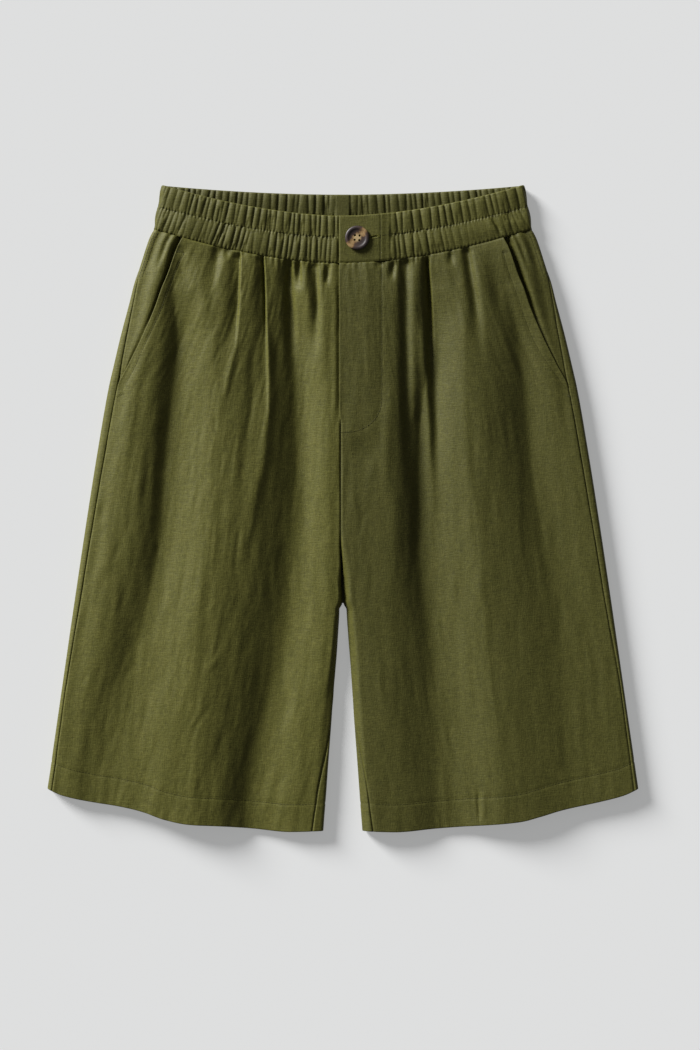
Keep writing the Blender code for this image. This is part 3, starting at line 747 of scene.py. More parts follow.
def polyline(nodes, spacing):
    """Evenly spaced points along a smooth line through the nodes."""
    nodes = np.array(nodes, float)

    def walked(points):
        return np.concatenate(([0.0], np.cumsum(np.linalg.norm(np.diff(points, axis=0), axis=1))))

    reach = walked(nodes)
    fine = np.linspace(0.0, reach[-1], max(LINE_LEAST, int(reach[-1] / LINE_STEP)))
    dense = np.stack([curve(reach, column, fine) for column in nodes.T], axis=1)
    reach = walked(dense)
    at = np.linspace(0.0, reach[-1], max(2, int(round(reach[-1] / spacing)) + 1))
    return np.stack([np.interp(at, reach, column) for column in dense.T], axis=1)


def distance_to(nodes, x, y):
    """The distance in plan from places to a line through the nodes."""
    points = polyline(nodes, DISTANCE_STEP)
    best = np.full(x.shape, np.inf)
    for a, b in zip(points[:-1], points[1:]):
        d = b - a
        t = np.clip(((x - a[0]) * d[0] + (y - a[1]) * d[1]) / (d @ d), 0.0, 1.0)
        best = np.minimum(best, np.hypot(x - a[0] - t * d[0], y - a[1] - t * d[1]))
    return best


# ---- fronts and backs
PANEL_STATIONS = stations(
    (SIDE_WAIST - GAP / 2, 240.0, 0.55),
    (240.0, 205.0, 1.25),
    (205.0, 150.0, 1.8),
    (150.0, HEM_LINE + 6.0, 3.0),
    (HEM_LINE + 6.0, HEM_LINE - 4.0, 1.2),
    (HEM_LINE - 4.0, SIDE_HEM + 2.7, 2.0),
    (SIDE_HEM + 2.7, SIDE_HEM + 0.6, 0.7),
    (SIDE_HEM + 0.6, SIDE_HEM + 0.09, 0.27),
    (SIDE_HEM + 0.09, SIDE_HEM, 0.09),
)
# The shares of a front's width between which its pleats lie, with closer columns there
PLEATED = {-1: (0.35, 0.69), 1: (0.46, 0.77)}
PLEATED_COLUMNS = 104
PLAIN_COLUMNS = 98

# Lines of stitching on the fronts, in plan
FLY_STITCH = (
    (33.5, 212.4), (33.5, 160.0), (33.5, 112.0), (33.0, 90.0), (29.6, 80.9),
    (23.9, 73.9), (14.4, 68.4), (7.4, 66.7), (-2.0, 66.1),
)
POCKET_STITCH = {
    -1: (
        (-137.5, 221.9), (-142.5, 211.4), (-158.3, 170.5), (-172.7, 139.2), (-181.7, 119.6), (-186.8, 110.8),
    ),
    1: ((138.6, 221.9), (142.7, 206.6), (148.8, 190.0), (164.9, 146.2), (184.4, 115.7), (194.6, 102.6)),
}
FLY_STITCH_VALLEY = (0.36, 0.9)
POCKET_STITCH_VALLEY = (0.38, 0.85)
WAIST_VALLEY = (0.55, 1.0)

HEM_VALLEY = (0.26, 0.8)
HEM_DOUBLES = (HEM_LINE, -1.5)
HEM_STANDS = 0.06
HEM_STANDS_OVER = 1.6
HEM_TUCKS = 0.30
HEM_TUCK_CELLS = (8.5, 34.0)
HEM_TUCKS_REACH = 15.0

CRINKLE_ACROSS = 215.0  # a front's width, over which its crumple is laid out
CRINKLE_STARTS_OVER = 14.0
MOUTH_OPENS = (POCKET_END, 4.0)
MOUTH_TURN = 9.0  # the width of the doubled cloth along a pocket mouth
POCKET_LIP = 0.8  # how far the mouth's edge stands up
POCKET_LIP_FADE = 3.6
CENTRE_VALLEY = (0.8, 0.9)
CENTRE_CLOSES = (CROTCH_Y, 8.0)
SLIT_DEPTH = 2.0
SLIT_OPENS = (-18.0, -22.0)  # above the crotch the two fronts part, down to it
SLIT_FROM_CROTCH = (-10.0, 10.0)
IN_FLY = (FLY_END, 8.0)
FLY_TURN = (8.0, -4.0)
UNDER_FLY_FROM_END = (-8.0, 34.0)
UNDER_FLY_VALLEY = (1.2, 2.0)
UNDER_FLY_VALLEY_IN = 2.6

BACK_COLUMNS = (18, 34, 14)  # round the side, over the floor and round the inner edge
BACK_INNER_LEAST = 6.0
BACK_INNER_SEAM = (CROTCH_Y, -6.0)
BACK_HEM_RISES = 3.0
BACK_DETAIL_RISES = 1.5
BACK_CREASES = 0.45  # creases turn up inside the back at this share of their height
BACK_CRINKLE = 0.6
BACK_INSIDE_LIFT = 0.35
BACK_INSIDE_FLAT = (1.0, -1.0)
BACK_INSIDE_STARTS_OVER = 9.0


def front_shares(side):
    """Where a front's columns lie between its edges."""
    first, last = PLEATED[side]
    before = round(PLAIN_COLUMNS * first / (first + 1.0 - last))
    return np.concatenate(
        (
            np.linspace(0.0, first, before + 1)[1:-1],
            np.linspace(first, last, PLEATED_COLUMNS),
            np.linspace(last, 1.0, PLAIN_COLUMNS - before + 1)[1:-1],
        )
    )


def hem_detail(y_side, u, seed):
    """The hem's stitch groove, the doubled cloth below it and the tucks along it."""
    from_line = y_side - HEM_LINE
    doubled = HEM_STANDS * smooth(-from_line / HEM_STANDS_OVER)
    tucks = HEM_TUCKS * lattice(seed, u, y_side, *HEM_TUCK_CELLS) * bell(from_line, HEM_TUCKS_REACH)
    return valley(from_line, *HEM_VALLEY) + doubled + tucks


def front_panel(side, name, seed, material, below):
    """One front, with its crumple, creases, hem, pocket mouth and fly."""
    row = panel_row(PANEL_STATIONS)
    start = seam_along(section(row.y, "front_in")) + GAP / 2
    end = centre_along(row, side) - GAP / 2
    along = columns_at(start, end, front_shares(side))
    base = skin(side, row, along)
    x, y = base[..., 0], base[..., 1]
    u = CRINKLE_ACROSS * (along - start) / (end - start)
    from_side, from_centre = along - start, end - along
    from_waist = SIDE_WAIST - row.y
    mouth = step(row.y, *MOUTH_OPENS)
    in_fly = step(y, *IN_FLY)

    height = CRINKLE[side] * crinkle(seed, u, y) * smooth(from_waist / CRINKLE_STARTS_OVER)
    height += creases(x, y, CREASES) + hem_detail(row.y, u, seed + 7)
    height += valley(from_waist, *WAIST_VALLEY) + below(x, y, from_waist)
    height += (1.0 - mouth) * valley(from_side, *SEAM_VALLEY)
    slit = step(y, *SLIT_OPENS) * step(y - CROTCH_Y, *SLIT_FROM_CROTCH)
    depth, width = CENTRE_VALLEY
    centre_seam = valley(from_centre, mix(depth, SLIT_DEPTH, slit), width)
    height += centre_seam * mix(1.0, 1.0 - in_fly, step(centre_y(row, True), *CENTRE_CLOSES))
    height += valley(distance_to(POCKET_STITCH[side], x, y), *POCKET_STITCH_VALLEY)
    height += POCKET_LIP * mouth * np.exp(-from_side / POCKET_LIP_FADE)
    doubled = np.maximum(step(row.y, *HEM_DOUBLES), mouth * smooth(MOUTH_TURN - from_side))
    thickness = mix(CLOTH, FOLDED, doubled)
    turn_in = np.maximum(rounded(row.y - SIDE_HEM, FOLDED), mouth * rounded(from_side, FOLDED))
    if side > 0:
        height += valley(distance_to(FLY_STITCH, x, y), *FLY_STITCH_VALLEY)
        height += FLY_RISE * step(x, *FLY_FLAT) * step(y, *FLY_RISES)
        turn_in = np.maximum(turn_in, in_fly * rounded(from_centre, FOLDED))
        thickness = mix(thickness, FOLDED, in_fly * step(from_centre, *FLY_TURN))
    else:
        under = step(y - FLY_END, *UNDER_FLY_FROM_END)
        height += under * valley(from_centre - UNDER_FLY_VALLEY_IN, *UNDER_FLY_VALLEY)
    return shell(name, side, base, height, thickness, turn_in, material)


def back_panel(side, name, seed, material):
    """One back: flat where it rests, and turned up to the front at both edges."""
    row = panel_row(PANEL_STATIONS)
    length = path_length(row, side, False)
    _, radius, seam_round, _ = inner_edge(row, side, False)
    start = seam_along(section(row.y, "seam_in")) - GAP / 2
    end = -length - seam_round + GAP / 2
    places = (
        start - FINE_EDGE[-1],
        -SIDE_ROLL * QUARTER + 0.0 * end,
        np.maximum(end + BACK_INNER_LEAST, radius * QUARTER - length),
        end + FINE_EDGE[-1],
    )
    runs = [
        mix(a, b, np.linspace(0.0, 1.0, count)[:-1])
        for a, b, count in zip(places[:-1], places[1:], BACK_COLUMNS)
    ]
    along = np.concatenate((start - FINE_EDGE[:-1], *runs, end + FINE_EDGE[::-1]), axis=1)
    base = skin(side, row, along)
    x, y, z = base[..., 0], base[..., 1], base[..., 2]
    from_inner = along - end
    on_leg = step(centre_y(row, False), *BACK_INNER_SEAM)
    height = valley(start - along, *SEAM_VALLEY) + valley(from_inner, *SEAM_VALLEY) * on_leg
    height += hem_detail(row.y, along, seed) * smooth(z / BACK_HEM_RISES)
    height *= smooth(z / BACK_DETAIL_RISES)
    inside = BACK_CREASES * creases(x, y, CREASES) + BACK_CRINKLE * crinkle(seed, along, y)
    inside = np.maximum(0.0, inside + BACK_INSIDE_LIFT) * step(z, *BACK_INSIDE_FLAT)
    thickness = mix(CLOTH, FOLDED, step(row.y, *HEM_DOUBLES))
    thickness = thickness + inside * smooth(from_inner / BACK_INSIDE_STARTS_OVER)
    turn_in = np.minimum(rounded(row.y - SIDE_HEM, FOLDED), FOLDED / 2)
    return shell(name, -side, base, height, thickness, turn_in, material)


# ---- pocket facings
FACING_END = POCKET_END - 3.0
FACING_END_DROP = 0.5
FACING_END_LENGTH = 8.0
FACING_UNDER = 9.0  # how far it reaches under the front
FACING_COLUMNS = 56
FACING_LEAST_WIDTH = 1.0
FACING_PAST_MOUTH = 1.4
# The facing goes down beside the mouth, by this much low down and higher up
FACING_DROP = (0.9, 1.5)
FACING_DROPS_FROM = (0.72, 0.28)
FACING_NARROW = (1.0, 7.0)
FACING_WIDE = (4.0, 10.0)
FACING_UPPER = (150.0, 50.0)
FACING_TOP = (195.0, 30.0)
FACING_SEAM_VALLEY = (0.5, 0.6)
FACING_WAIST_VALLEY = (0.6, 1.6)
FACING_CRINKLE = 0.5
FACING_CRINKLE_STARTS_OVER = 5.0
# The gap under the mouth's lip
PocketGap = namedtuple("PocketGap", "depth width width_top")
POCKET_GAPS = {-1: PocketGap(3.4, 1.0, 2.2), 1: PocketGap(4.4, 3.4, 4.0)}
POCKET_GAP_LOW = 0.2
POCKET_GAP_IN = 1.0
# Folds down a facing: height low down and what it gains, place and width as shares of the
# facing's width, and where it gains
FACING_FOLDS = table(
    "name low gain place width starts over",
    ("ridge", 0.2, 0.7, 0.62, 0.20, *FACING_UPPER),
    ("trough", 0.0, -1.3, 0.34, 0.14, *FACING_TOP),
    ("tuck", 0.0, -1.7, 0.64, 0.085, 203.0, 22.0),
)


def pocket_facing(side, name, seed, material):
    """The cloth that shows beside a pocket mouth and goes on under the front."""
    row = panel_row(PANEL_STATIONS[PANEL_STATIONS > FACING_END])
    seam = seam_along(section(row.y, "seam_in")) + GAP / 2
    mouth = seam_along(section(row.y, "front_in"))
    width = np.maximum(mouth - seam, 0.0)
    inside = mix(seam + FINE_EDGE[-1], mouth + FACING_UNDER, np.linspace(0.0, 1.0, FACING_COLUMNS))
    along = np.concatenate((seam + FINE_EDGE[:-1], inside), axis=1)
    base = skin(side, row, along)
    y = base[..., 1]
    from_seam = along - seam
    t = np.clip(from_seam / np.maximum(width, FACING_LEAST_WIDTH), 0.0, FACING_PAST_MOUTH)
    wide, upper = step(width, *FACING_WIDE), step(y, *FACING_UPPER)
    down = np.maximum(step(t, *FACING_DROPS_FROM), 1.0 - step(width, *FACING_NARROW))
    gap = POCKET_GAPS[side]
    gap_width = mix(gap.width, gap.width_top, step(y, *FACING_TOP))
    in_gap = bell(np.maximum(mouth - POCKET_GAP_IN - along, 0.0), gap_width)
    height = -mix(*FACING_DROP, upper) * down - wide * (POCKET_GAP_LOW + gap.depth * upper) * in_gap
    for fold in FACING_FOLDS:
        rise = fold.low + fold.gain * step(y, fold.starts, fold.over)
        height += wide * rise * bell(t - fold.place, fold.width)
    crumple = FACING_CRINKLE * crinkle(seed, along, y)
    height += valley(from_seam, *FACING_SEAM_VALLEY)
    height += crumple * smooth(from_seam / FACING_CRINKLE_STARTS_OVER)
    height += valley(SIDE_WAIST - row.y, *FACING_WAIST_VALLEY)
    height -= FACING_END_DROP * (1.0 - step(row.y, FACING_END, FACING_END_LENGTH))
    return shell(name, side, base, height, CLOTH, 0.0, material)


# ---- waistbands
BAND_STATIONS = stations(
    (0.0, 0.06, 0.015), (0.06, 0.94, 0.038), (0.94, 1.06, 0.017), (1.06, 1.90, 0.040),
    (1.90, 1.965, 0.02), (1.965, 2.0, 0.0117),
)[::-1]
BAND_FOOT = GAP / 40.0  # half a gap above the waist seam, as a share of the lower channel
LOWER_CHANNEL = 19.5
UPPER_CHANNEL = 19.0
UPPER_SLANT = 0.7
UPPER_RUN = 0.62  # the upper channel's gathers still run at the band's top edge
TOP_TURNS = (1.7, 0.3)
TOP_DROP = 0.35
BAND_SEAM_VALLEY = (0.45, 0.8)
BAND_STITCH_VALLEY = (0.12, 0.6)

FRONT_BAND_COLUMNS = 336  # between the closer ones at its edges
FRONT_PITCHES = {-1: (5.3, 5.1), 1: (5.3, 7.2)}  # of the lower and the upper channel
FRONT_SLANT = 2.7
END_FLAT = (0.0, 2.0)  # the right half ends flat beside the tab
END_DROP = 0.3

TAB_STARTS = (1.0, -3.5)
TAB_VALLEY = (0.5, 1.0)
TAB_WAVES = (0.22, 16.0, 21.0)
TAB_STITCH_X = 32.6
TAB_STITCH_VALLEY = (0.35, 0.8)
TAB_LIFT = 0.35
TAB_LIFTS = (38.0, -6.0)
TAB_LIFT_LEAST = 0.5
BUTTONHOLE = ((22.6, 234.6), (29.6, 236.0))
BUTTONHOLE_VALLEY = (0.9, 0.55)

BACK_BAND_COLUMNS = 560
BACK_PITCHES = (6.2, 5.95)
BACK_PLAIN = (8.0, -3.0)  # a short stretch at the centre back has no gathers
BACK_PLAIN_HEIGHT = 0.8 * PUFF
BACK_BAND_DEPTH = 1.9
BACK_BAND_LEAST = 1.0
BACK_EDGE_LEAST = 0.05


def band_height(seed, u, up, shares_lower, shares_upper, pitches, slant):
    """Both channels' gathers, the tucks at the stitching and the seam below."""
    length = float(np.max(u))
    lower = channel_valleys(seed, length, pitches[0], slant)
    upper = channel_valleys(seed + 1, length, pitches[1], UPPER_SLANT * slant)
    low = channel_height(lower, u, up, shares_lower)
    high = channel_height(upper, u, np.clip((up - 1.0) * UPPER_RUN, 0.0, 1.0), shares_upper)
    height = np.where(up < 1.0, low, high - TOP_DROP * step(up, *TOP_TURNS))
    to_row = np.abs(up - 1.0) * UPPER_CHANNEL
    to_seam = up * LOWER_CHANNEL
    height += puckers(seed + 3, u, to_row, *PUCKERS_STITCHING)
    height += puckers(seed + 4, u, to_seam, *PUCKERS_SEAM)
    return height + valley(to_seam, *BAND_SEAM_VALLEY) + valley(to_row, *BAND_STITCH_VALLEY), lower


def front_waistband(side, name, seed, material):
    """The band's half on this side, and the places of its gathers at the waist seam."""
    row = band_row(np.maximum(BAND_STATIONS, BAND_FOOT))
    up = BAND_STATIONS.reshape(-1, 1)
    centre = centre_along(row, side) + front_end(side, centre_y(row, True))
    end = centre - side * TAB_X - GAP / 2
    start = np.full_like(end, GAP / 2)
    along = columns_at(start, end, np.linspace(0.0, 1.0, FRONT_BAND_COLUMNS + 2)[1:-1])
    base = skin(side, row, along)
    x, y = base[..., 0], base[..., 1]
    gathered = end if side < 0 else centre - TAB_END_X
    u = np.max(gathered - start) * (along - start) / (gathered - start)
    shares = [read(GATHER_SHARES, "x", channel, x) for channel in ("lower", "upper")]
    height, valleys = band_height(seed, u, up, *shares, FRONT_PITCHES[side], FRONT_SLANT)
    height += creases(x, y, BAND_CREASES)
    turn_in = rounded((2.0 - up) * UPPER_CHANNEL, BAND)
    if side > 0:
        waves, *cells = TAB_WAVES
        tab = valley(up * LOWER_CHANNEL, *TAB_VALLEY) + waves * lattice(seed + 9, along, y, *cells)
        tab += valley(x - TAB_STITCH_X, *TAB_STITCH_VALLEY)
        tab += (TAB_RISE + TAB_LIFT) * mix(TAB_LIFT_LEAST, 1.0, step(x, *TAB_LIFTS))
        tab += valley(distance_to(BUTTONHOLE, x, y), *BUTTONHOLE_VALLEY)
        height = mix(tab, height, step(along - gathered, *TAB_STARTS))
        turn_in = np.maximum(turn_in, rounded(end - along, BAND))
    else:
        height = mix(-END_DROP, height, step(end - along, *END_FLAT))
    obj = shell(name, side, base, height, BAND, turn_in, material)
    lowest = skin(side, band_row([0.0]), along[-1:, :])[0, :, 0]
    places = [float(np.interp(v.low, u[-1], lowest)) for v in valleys if v.start < 0.0]
    return obj, places


def back_waistband(name, seed, material):
    """One strip round the back, from side seam to side seam."""
    up = np.append(BAND_STATIONS[::2], 0.0)
    row = band_row(np.maximum(up, BAND_FOOT))
    up = up.reshape(-1, 1)
    edge = section(row.y, "half_width")
    roll = SIDE_ROLL * QUARTER
    half = edge - SIDE_ROLL + roll
    share = np.linspace(-1.0, 1.0, BACK_BAND_COLUMNS)
    place = (half - GAP / 2) * share
    along = np.abs(place) - half
    on_roll = -along <= roll
    turn = np.clip(along / SIDE_ROLL, -QUARTER, 0.0)
    x = np.where(on_roll, edge - SIDE_ROLL * (1.0 - np.cos(turn)), edge - SIDE_ROLL + along + roll)
    z = np.where(on_roll, SIDE_ROLL * (1.0 + np.sin(turn)), 0.0)
    side = np.where(share < 0.0, -1.0, 1.0)
    base = np.stack((side * x, row_y(row, 1, x, False), z), axis=2)
    out = normals(base, 1)
    u = place / half * half[-1] + half[-1]
    height, _ = band_height(seed, u, up, 1.0, 1.0, BACK_PITCHES, 0.0)
    height = mix(height, BACK_PLAIN_HEIGHT, step(np.abs(x), *BACK_PLAIN))
    turn_in = rounded((2.0 - up) * UPPER_CHANNEL, BAND)
    depth = np.maximum(BACK_BAND_DEPTH + height, BACK_BAND_LEAST)
    outer = base - out * turn_in[..., None]
    inner = base - out * np.maximum(depth - turn_in, turn_in + BACK_EDGE_LEAST)[..., None]
    return add_wall(name, outer, inner, -1, material)


# ---- materials
LINEN_SURFACE = {"Roughness": 0.62, "Specular IOR Level": 0.28}
# The grain of warp, weft, slubs and dye patches: its size along each axis, detail and seed
LINEN_GRAINS = (
    ((1.05, 5.0, 1.05), 3.0, 1.0),
    ((5.5, 1.05, 5.5), 3.0, 5.0),
    ((1.0, 1.0, 1.0), 2.0, 9.0),
    ((9.0, 14.0, 9.0), 3.0, 3.0),
)
THREADS_SHARE = 0.34
SLUBS_SHARE = 0.30
PATCHES_SHARE = 0.10
LINEN_COLOURS = (
    (0.34, (0.036, 0.034, 0.0032)),
    (0.54, (0.0685, 0.0662, 0.0088)),
    (0.76, (0.1145, 0.1097, 0.0205)),
)
LINEN_TINTS = ((0.35, (0.99, 1.0, 0.98)), (0.65, (1.01, 1.0, 1.02)))
WARP_PITCH = 0.62
WEFT_PITCH = 0.66
WEAVE_RELIEF = 0.08
LINEN_BUMP = {"Strength": 0.70, "Distance": 0.00030}

HORN_SURFACE = {"Roughness": 0.50, "Coat Weight": 0.05, "Coat Roughness": 0.30}
HORN_CLOUDS = ((5.0, 5.0, 5.0), 4.0, 2.0)
HORN_FINE = ((1.2, 1.2, 1.2), 3.0, 4.0)
CLOUDS_SHARE = 0.85
FINE_SHARE = 0.25
HORN_DARK = (0.026, 0.015, 0.014)
HORN_COLOURS = (
    (0.22, HORN_DARK),
    (0.34, (0.050, 0.027, 0.020)),
    (0.41, (0.230, 0.135, 0.052)),
    (0.50, (0.340, 0.225, 0.100)),
    (0.58, (0.240, 0.142, 0.055)),
    (0.66, (0.058, 0.032, 0.022)),
    (0.78, HORN_DARK),
)
# Painted highlight: a pale cream mixed into the horn round its holes
HORN_PAINTED_HIGHLIGHT = (0.46, 0.34, 0.17, 1.0)
PAINTED_HIGHLIGHT_RADIUS = 4.0  # painted highlight: the horn is made pale round its holes, where its dished middle catches the light
PAINTED_HIGHLIGHT_SHARES = ((0.55, (0.75, 0.75, 0.75)), (1.0, (0.0, 0.0, 0.0)))
TURNING_PITCH = 0.42
TURNING_RELIEF = 0.25
HORN_BUMP = {"Strength": 0.25, "Distance": 0.00012}

FLOOR_SURFACE = {
    "Base Color": (0.462, 0.464, 0.464, 1.0),
    "Roughness": 0.9,
    "Specular IOR Level": 0.0,
    "Emission Color": (0.299, 0.302, 0.302, 1.0),
    "Emission Strength": 1.0,
}

NOISE_ROUGHNESS = 0.6
NOISE_OFFSET = (1.0, 1.7, 0.3)
MIX_COLOURS = (6, 7)  # a Mix node's two colour inputs, and its colour output
MIX_RESULT = 2


def new_material(name, surface):
    """A material, its node tree, and its shader with these values on its own sockets."""
    material = bpy.data.materials.new(name)
    material.use_nodes = True
    shader = material.node_tree.nodes["Principled BSDF"]
    for key, value in surface.items():
        shader.inputs[key].default_value = value
    return material, material.node_tree, shader


def feed(socket, value):
    """Set an input, or link another node's output to it."""
    if isinstance(value, bpy.types.NodeSocket):
        socket.id_data.links.new(value, socket)
    else:
        socket.default_value = value


def node(tree, kind, *first_inputs, **values):
    """A new node with its first inputs in order, and settings and other inputs by name."""
    made = tree.nodes.new(kind)
    for key, value in values.items():
        if key in made.inputs:
            feed(made.inputs[key], value)
        else:
            setattr(made, key, value)
    for socket, value in zip(made.inputs, first_inputs):
        feed(socket, value)
    return made


def maths(tree, operation, *values):
    return node(tree, "ShaderNodeMath", *values, operation=operation).outputs[0]


def plus_share(tree, value, other, share):
    """A value with a share of another on top."""
    return maths(tree, "ADD", value, maths(tree, "MULTIPLY", other, share))


def wave(tree, distance, pitch):
    """A sine wave with a pitch in millimetres."""
    return maths(tree, "SINE", maths(tree, "MULTIPLY", distance, 2 * math.pi / (pitch * MM)))


def stretched_noise(tree, place, size, detail, seed):
    """Noise whose grain has the given size in millimetres along each axis."""
    mapping = node(
        tree, "ShaderNodeMapping", Vector=place,
        Scale=[1.0 / (s * MM) for s in size], Location=[seed * share for share in NOISE_OFFSET],
    )
    vector = mapping.outputs["Vector"]
    noise = node(
        tree, "ShaderNodeTexNoise", Vector=vector, Scale=1.0, Detail=detail, Roughness=NOISE_ROUGHNESS
    )
    return noise.outputs["Fac"]


def ramp(tree, share, stops):
    made = node(tree, "ShaderNodeValToRGB", share)
    elements = made.color_ramp.elements
    while len(elements) < len(stops):
        elements.new(0.5)
    for element, (position, colour) in zip(elements, stops):
        element.position = position
        element.color = (*colour, 1.0)
    return made.outputs["Color"]


def mix_colours(tree, share, *colours, **settings):
    made = node(tree, "ShaderNodeMix", share, data_type="RGBA", **settings)
    for index, colour in zip(MIX_COLOURS, colours):
        feed(made.inputs[index], colour)
    return made.outputs[MIX_RESULT]


def add_bump(tree, shader, relief, sizes):
    bump = node(tree, "ShaderNodeBump", Height=relief, **sizes)
    feed(shader.inputs["Normal"], bump.outputs["Normal"])


def linen_material(name, shade):
    """Olive linen: slubby crossed threads with a faint lustre and patchy dye."""
    material, tree, shader = new_material(name, LINEN_SURFACE)
    place = node(tree, "ShaderNodeTexCoord").outputs["Object"]
    warp, weft, slubs, patches = [stretched_noise(tree, place, *grain) for grain in LINEN_GRAINS]
    threads = maths(tree, "ADD", warp, weft)
    value = maths(tree, "MULTIPLY", threads, THREADS_SHARE)
    value = plus_share(tree, value, slubs, SLUBS_SHARE)
    value = plus_share(tree, value, patches, PATCHES_SHARE)
    stops = [(position, [c * shade for c in colour]) for position, colour in LINEN_COLOURS]
    tint = ramp(tree, patches, LINEN_TINTS)
    dyed = mix_colours(tree, 1.0, ramp(tree, value, stops), tint, blend_type="MULTIPLY")
    feed(shader.inputs["Base Color"], dyed)
    cells = node(tree, "ShaderNodeSeparateXYZ", place)
    across, down = wave(tree, cells.outputs[0], WARP_PITCH), wave(tree, cells.outputs[1], WEFT_PITCH)
    weave = maths(tree, "MULTIPLY", across, down)
    add_bump(tree, shader, plus_share(tree, threads, weave, WEAVE_RELIEF), LINEN_BUMP)
    return material


def horn_material():
    """Dark horn with a tan band, clouded and finely turned, and a painted highlight round its holes."""
    material, tree, shader = new_material("button_horn", HORN_SURFACE)
    place = node(tree, "ShaderNodeTexCoord").outputs["Object"]
    mapping = node(tree, "ShaderNodeMapping", Vector=place, Location=(-BUTTON_X * MM, -BUTTON_Y * MM, 0.0))
    local = node(tree, "ShaderNodeSeparateXYZ", mapping.outputs["Vector"])
    clouds = stretched_noise(tree, place, *HORN_CLOUDS)
    fine = stretched_noise(tree, place, *HORN_FINE)
    across = maths(tree, "SUBTRACT", local.outputs[0], local.outputs[1])
    across = maths(tree, "MULTIPLY", across, math.sqrt(0.5) / (BUTTON_RADIUS * MM))
    across = plus_share(tree, across, maths(tree, "SUBTRACT", clouds, 0.5), CLOUDS_SHARE)
    across = plus_share(tree, across, maths(tree, "SUBTRACT", fine, 0.5), FINE_SHARE)
    banded = ramp(tree, maths(tree, "MULTIPLY_ADD", across, 0.5, 0.5), HORN_COLOURS)
    flat = node(tree, "ShaderNodeCombineXYZ", local.outputs[0], local.outputs[1])
    length = node(tree, "ShaderNodeVectorMath", flat.outputs[0], operation="LENGTH")
    radius = length.outputs["Value"]
    # Painted highlight: the horn goes pale towards its holes
    painted_highlight = ramp(tree, maths(tree, "DIVIDE", radius, PAINTED_HIGHLIGHT_RADIUS * MM), PAINTED_HIGHLIGHT_SHARES)
    feed(shader.inputs["Base Color"], mix_colours(tree, painted_highlight, banded, HORN_PAINTED_HIGHLIGHT))
    turned = wave(tree, radius, TURNING_PITCH)
    add_bump(tree, shader, plus_share(tree, fine, turned, TURNING_RELIEF), HORN_BUMP)
    return material


# Painted light: the wearer's right pieces get a lighter copy of the linen and the left pieces a darker one,
# for light that fades from one side of the shorts to the other.
LINEN_PAINTED_LIT = linen_material("linen_olive_painted_lit", 1.17)
LINEN_PAINTED_SHADE = linen_material("linen_olive_painted_shade", 0.89)
LINEN_BAND = linen_material("linen_olive_band", 1.02)
# Painted shade: a darker copy of the linen for the back band and the seam allowance, which lie low inside the
# shorts.
LINEN_INSIDE_PAINTED_SHADE = linen_material("linen_inside_painted_shade", 0.84)
THREAD = linen_material("thread_olive", 0.62)
THREAD_LIGHT = linen_material("thread_buttonhole", 1.70)
THREAD_TACK = linen_material("thread_bar_tack", 0.95)
HORN = horn_material()

# ---- the cloth pieces
GATHER_LENGTHS = (5.0, 17.0)
GATHER_DEPTHS = (0.55, 1.25)
GATHER_WIDTHS = (1.0, 1.7)
GATHERS_WIDEN_OVER = 14.0

ALLOWANCE_CROTCH = 1.3  # half widths of the back seam's allowance
ALLOWANCE = 4.5
ALLOWANCE_WIDENS_OVER = 40.0
ALLOWANCE_THICK = 0.5
ALLOWANCE_TOP = 205.0
ALLOWANCE_COLUMNS = 9
ALLOWANCE_STATIONS = stations(
    (CROTCH_Y + 0.3, CROTCH_Y + ALLOWANCE_WIDENS_OVER, 2.0),
    (CROTCH_Y + ALLOWANCE_WIDENS_OVER, ALLOWANCE_TOP, 8.0),
)


def below_seam(places, seed):
    """Gathers that run on from the band into the panel and soon open out."""
    rng = np.random.default_rng(seed)
    spans = (GATHER_LENGTHS, GATHER_DEPTHS, GATHER_WIDTHS)
    gathers = [(place, *(rng.uniform(*span) for span in spans)) for place in places]

    def height(x, y, from_waist):
        total = 0.0 * x
        for place, length, depth, width in gathers:
            spreading = width * (1.0 + from_waist / GATHERS_WIDEN_OVER)
            total += valley(x - place, depth * bell(from_waist, length), spreading)
        return total * read(GATHER_SHARES, "x", "below", x)

    return height


def seam_allowance(name, material):
    """The turned edges of the back seam, inside, from the crotch up."""
    y = ALLOWANCE_STATIONS[::-1].reshape(-1, 1)
    up = y - CROTCH_Y
    half = mix(ALLOWANCE_CROTCH, ALLOWANCE, smooth(up / ALLOWANCE_WIDENS_OVER))
    x = half * np.linspace(-1.0, 1.0, ALLOWANCE_COLUMNS)
    low = mix(CROTCH_ROLL, CLOTH, smooth(up / BACK_LIFT_LENGTH)) + GAP + 0.0 * x
    top, under = [np.stack((x, y + 0.0 * x, z), axis=2) for z in (low + ALLOWANCE_THICK, low)]
    return add_wall(name, top, under, -1, material)


band_right, places_right = front_waistband(-1, "waistband_front_right_cloth", 11, LINEN_BAND)
band_left, places_left = front_waistband(1, "waistband_front_left_cloth", 31, LINEN_BAND)
front_right = front_panel(-1, "front_right_cloth", 101, LINEN_PAINTED_LIT, below_seam(places_right, 61))
front_left = front_panel(1, "front_left_cloth", 141, LINEN_PAINTED_SHADE, below_seam(places_left, 62))
back_right = back_panel(-1, "back_right_cloth", 181, LINEN_PAINTED_LIT)
back_left = back_panel(1, "back_left_cloth", 191, LINEN_PAINTED_SHADE)
facing_right = pocket_facing(-1, "pocket_facing_right_cloth", 201, LINEN_PAINTED_LIT)
facing_left = pocket_facing(1, "pocket_facing_left_cloth", 211, LINEN_PAINTED_SHADE)
band_back = back_waistband("waistband_back_cloth", 51, LINEN_INSIDE_PAINTED_SHADE)
back_allowance = seam_allowance("back_seam_allowance", LINEN_INSIDE_PAINTED_SHADE)

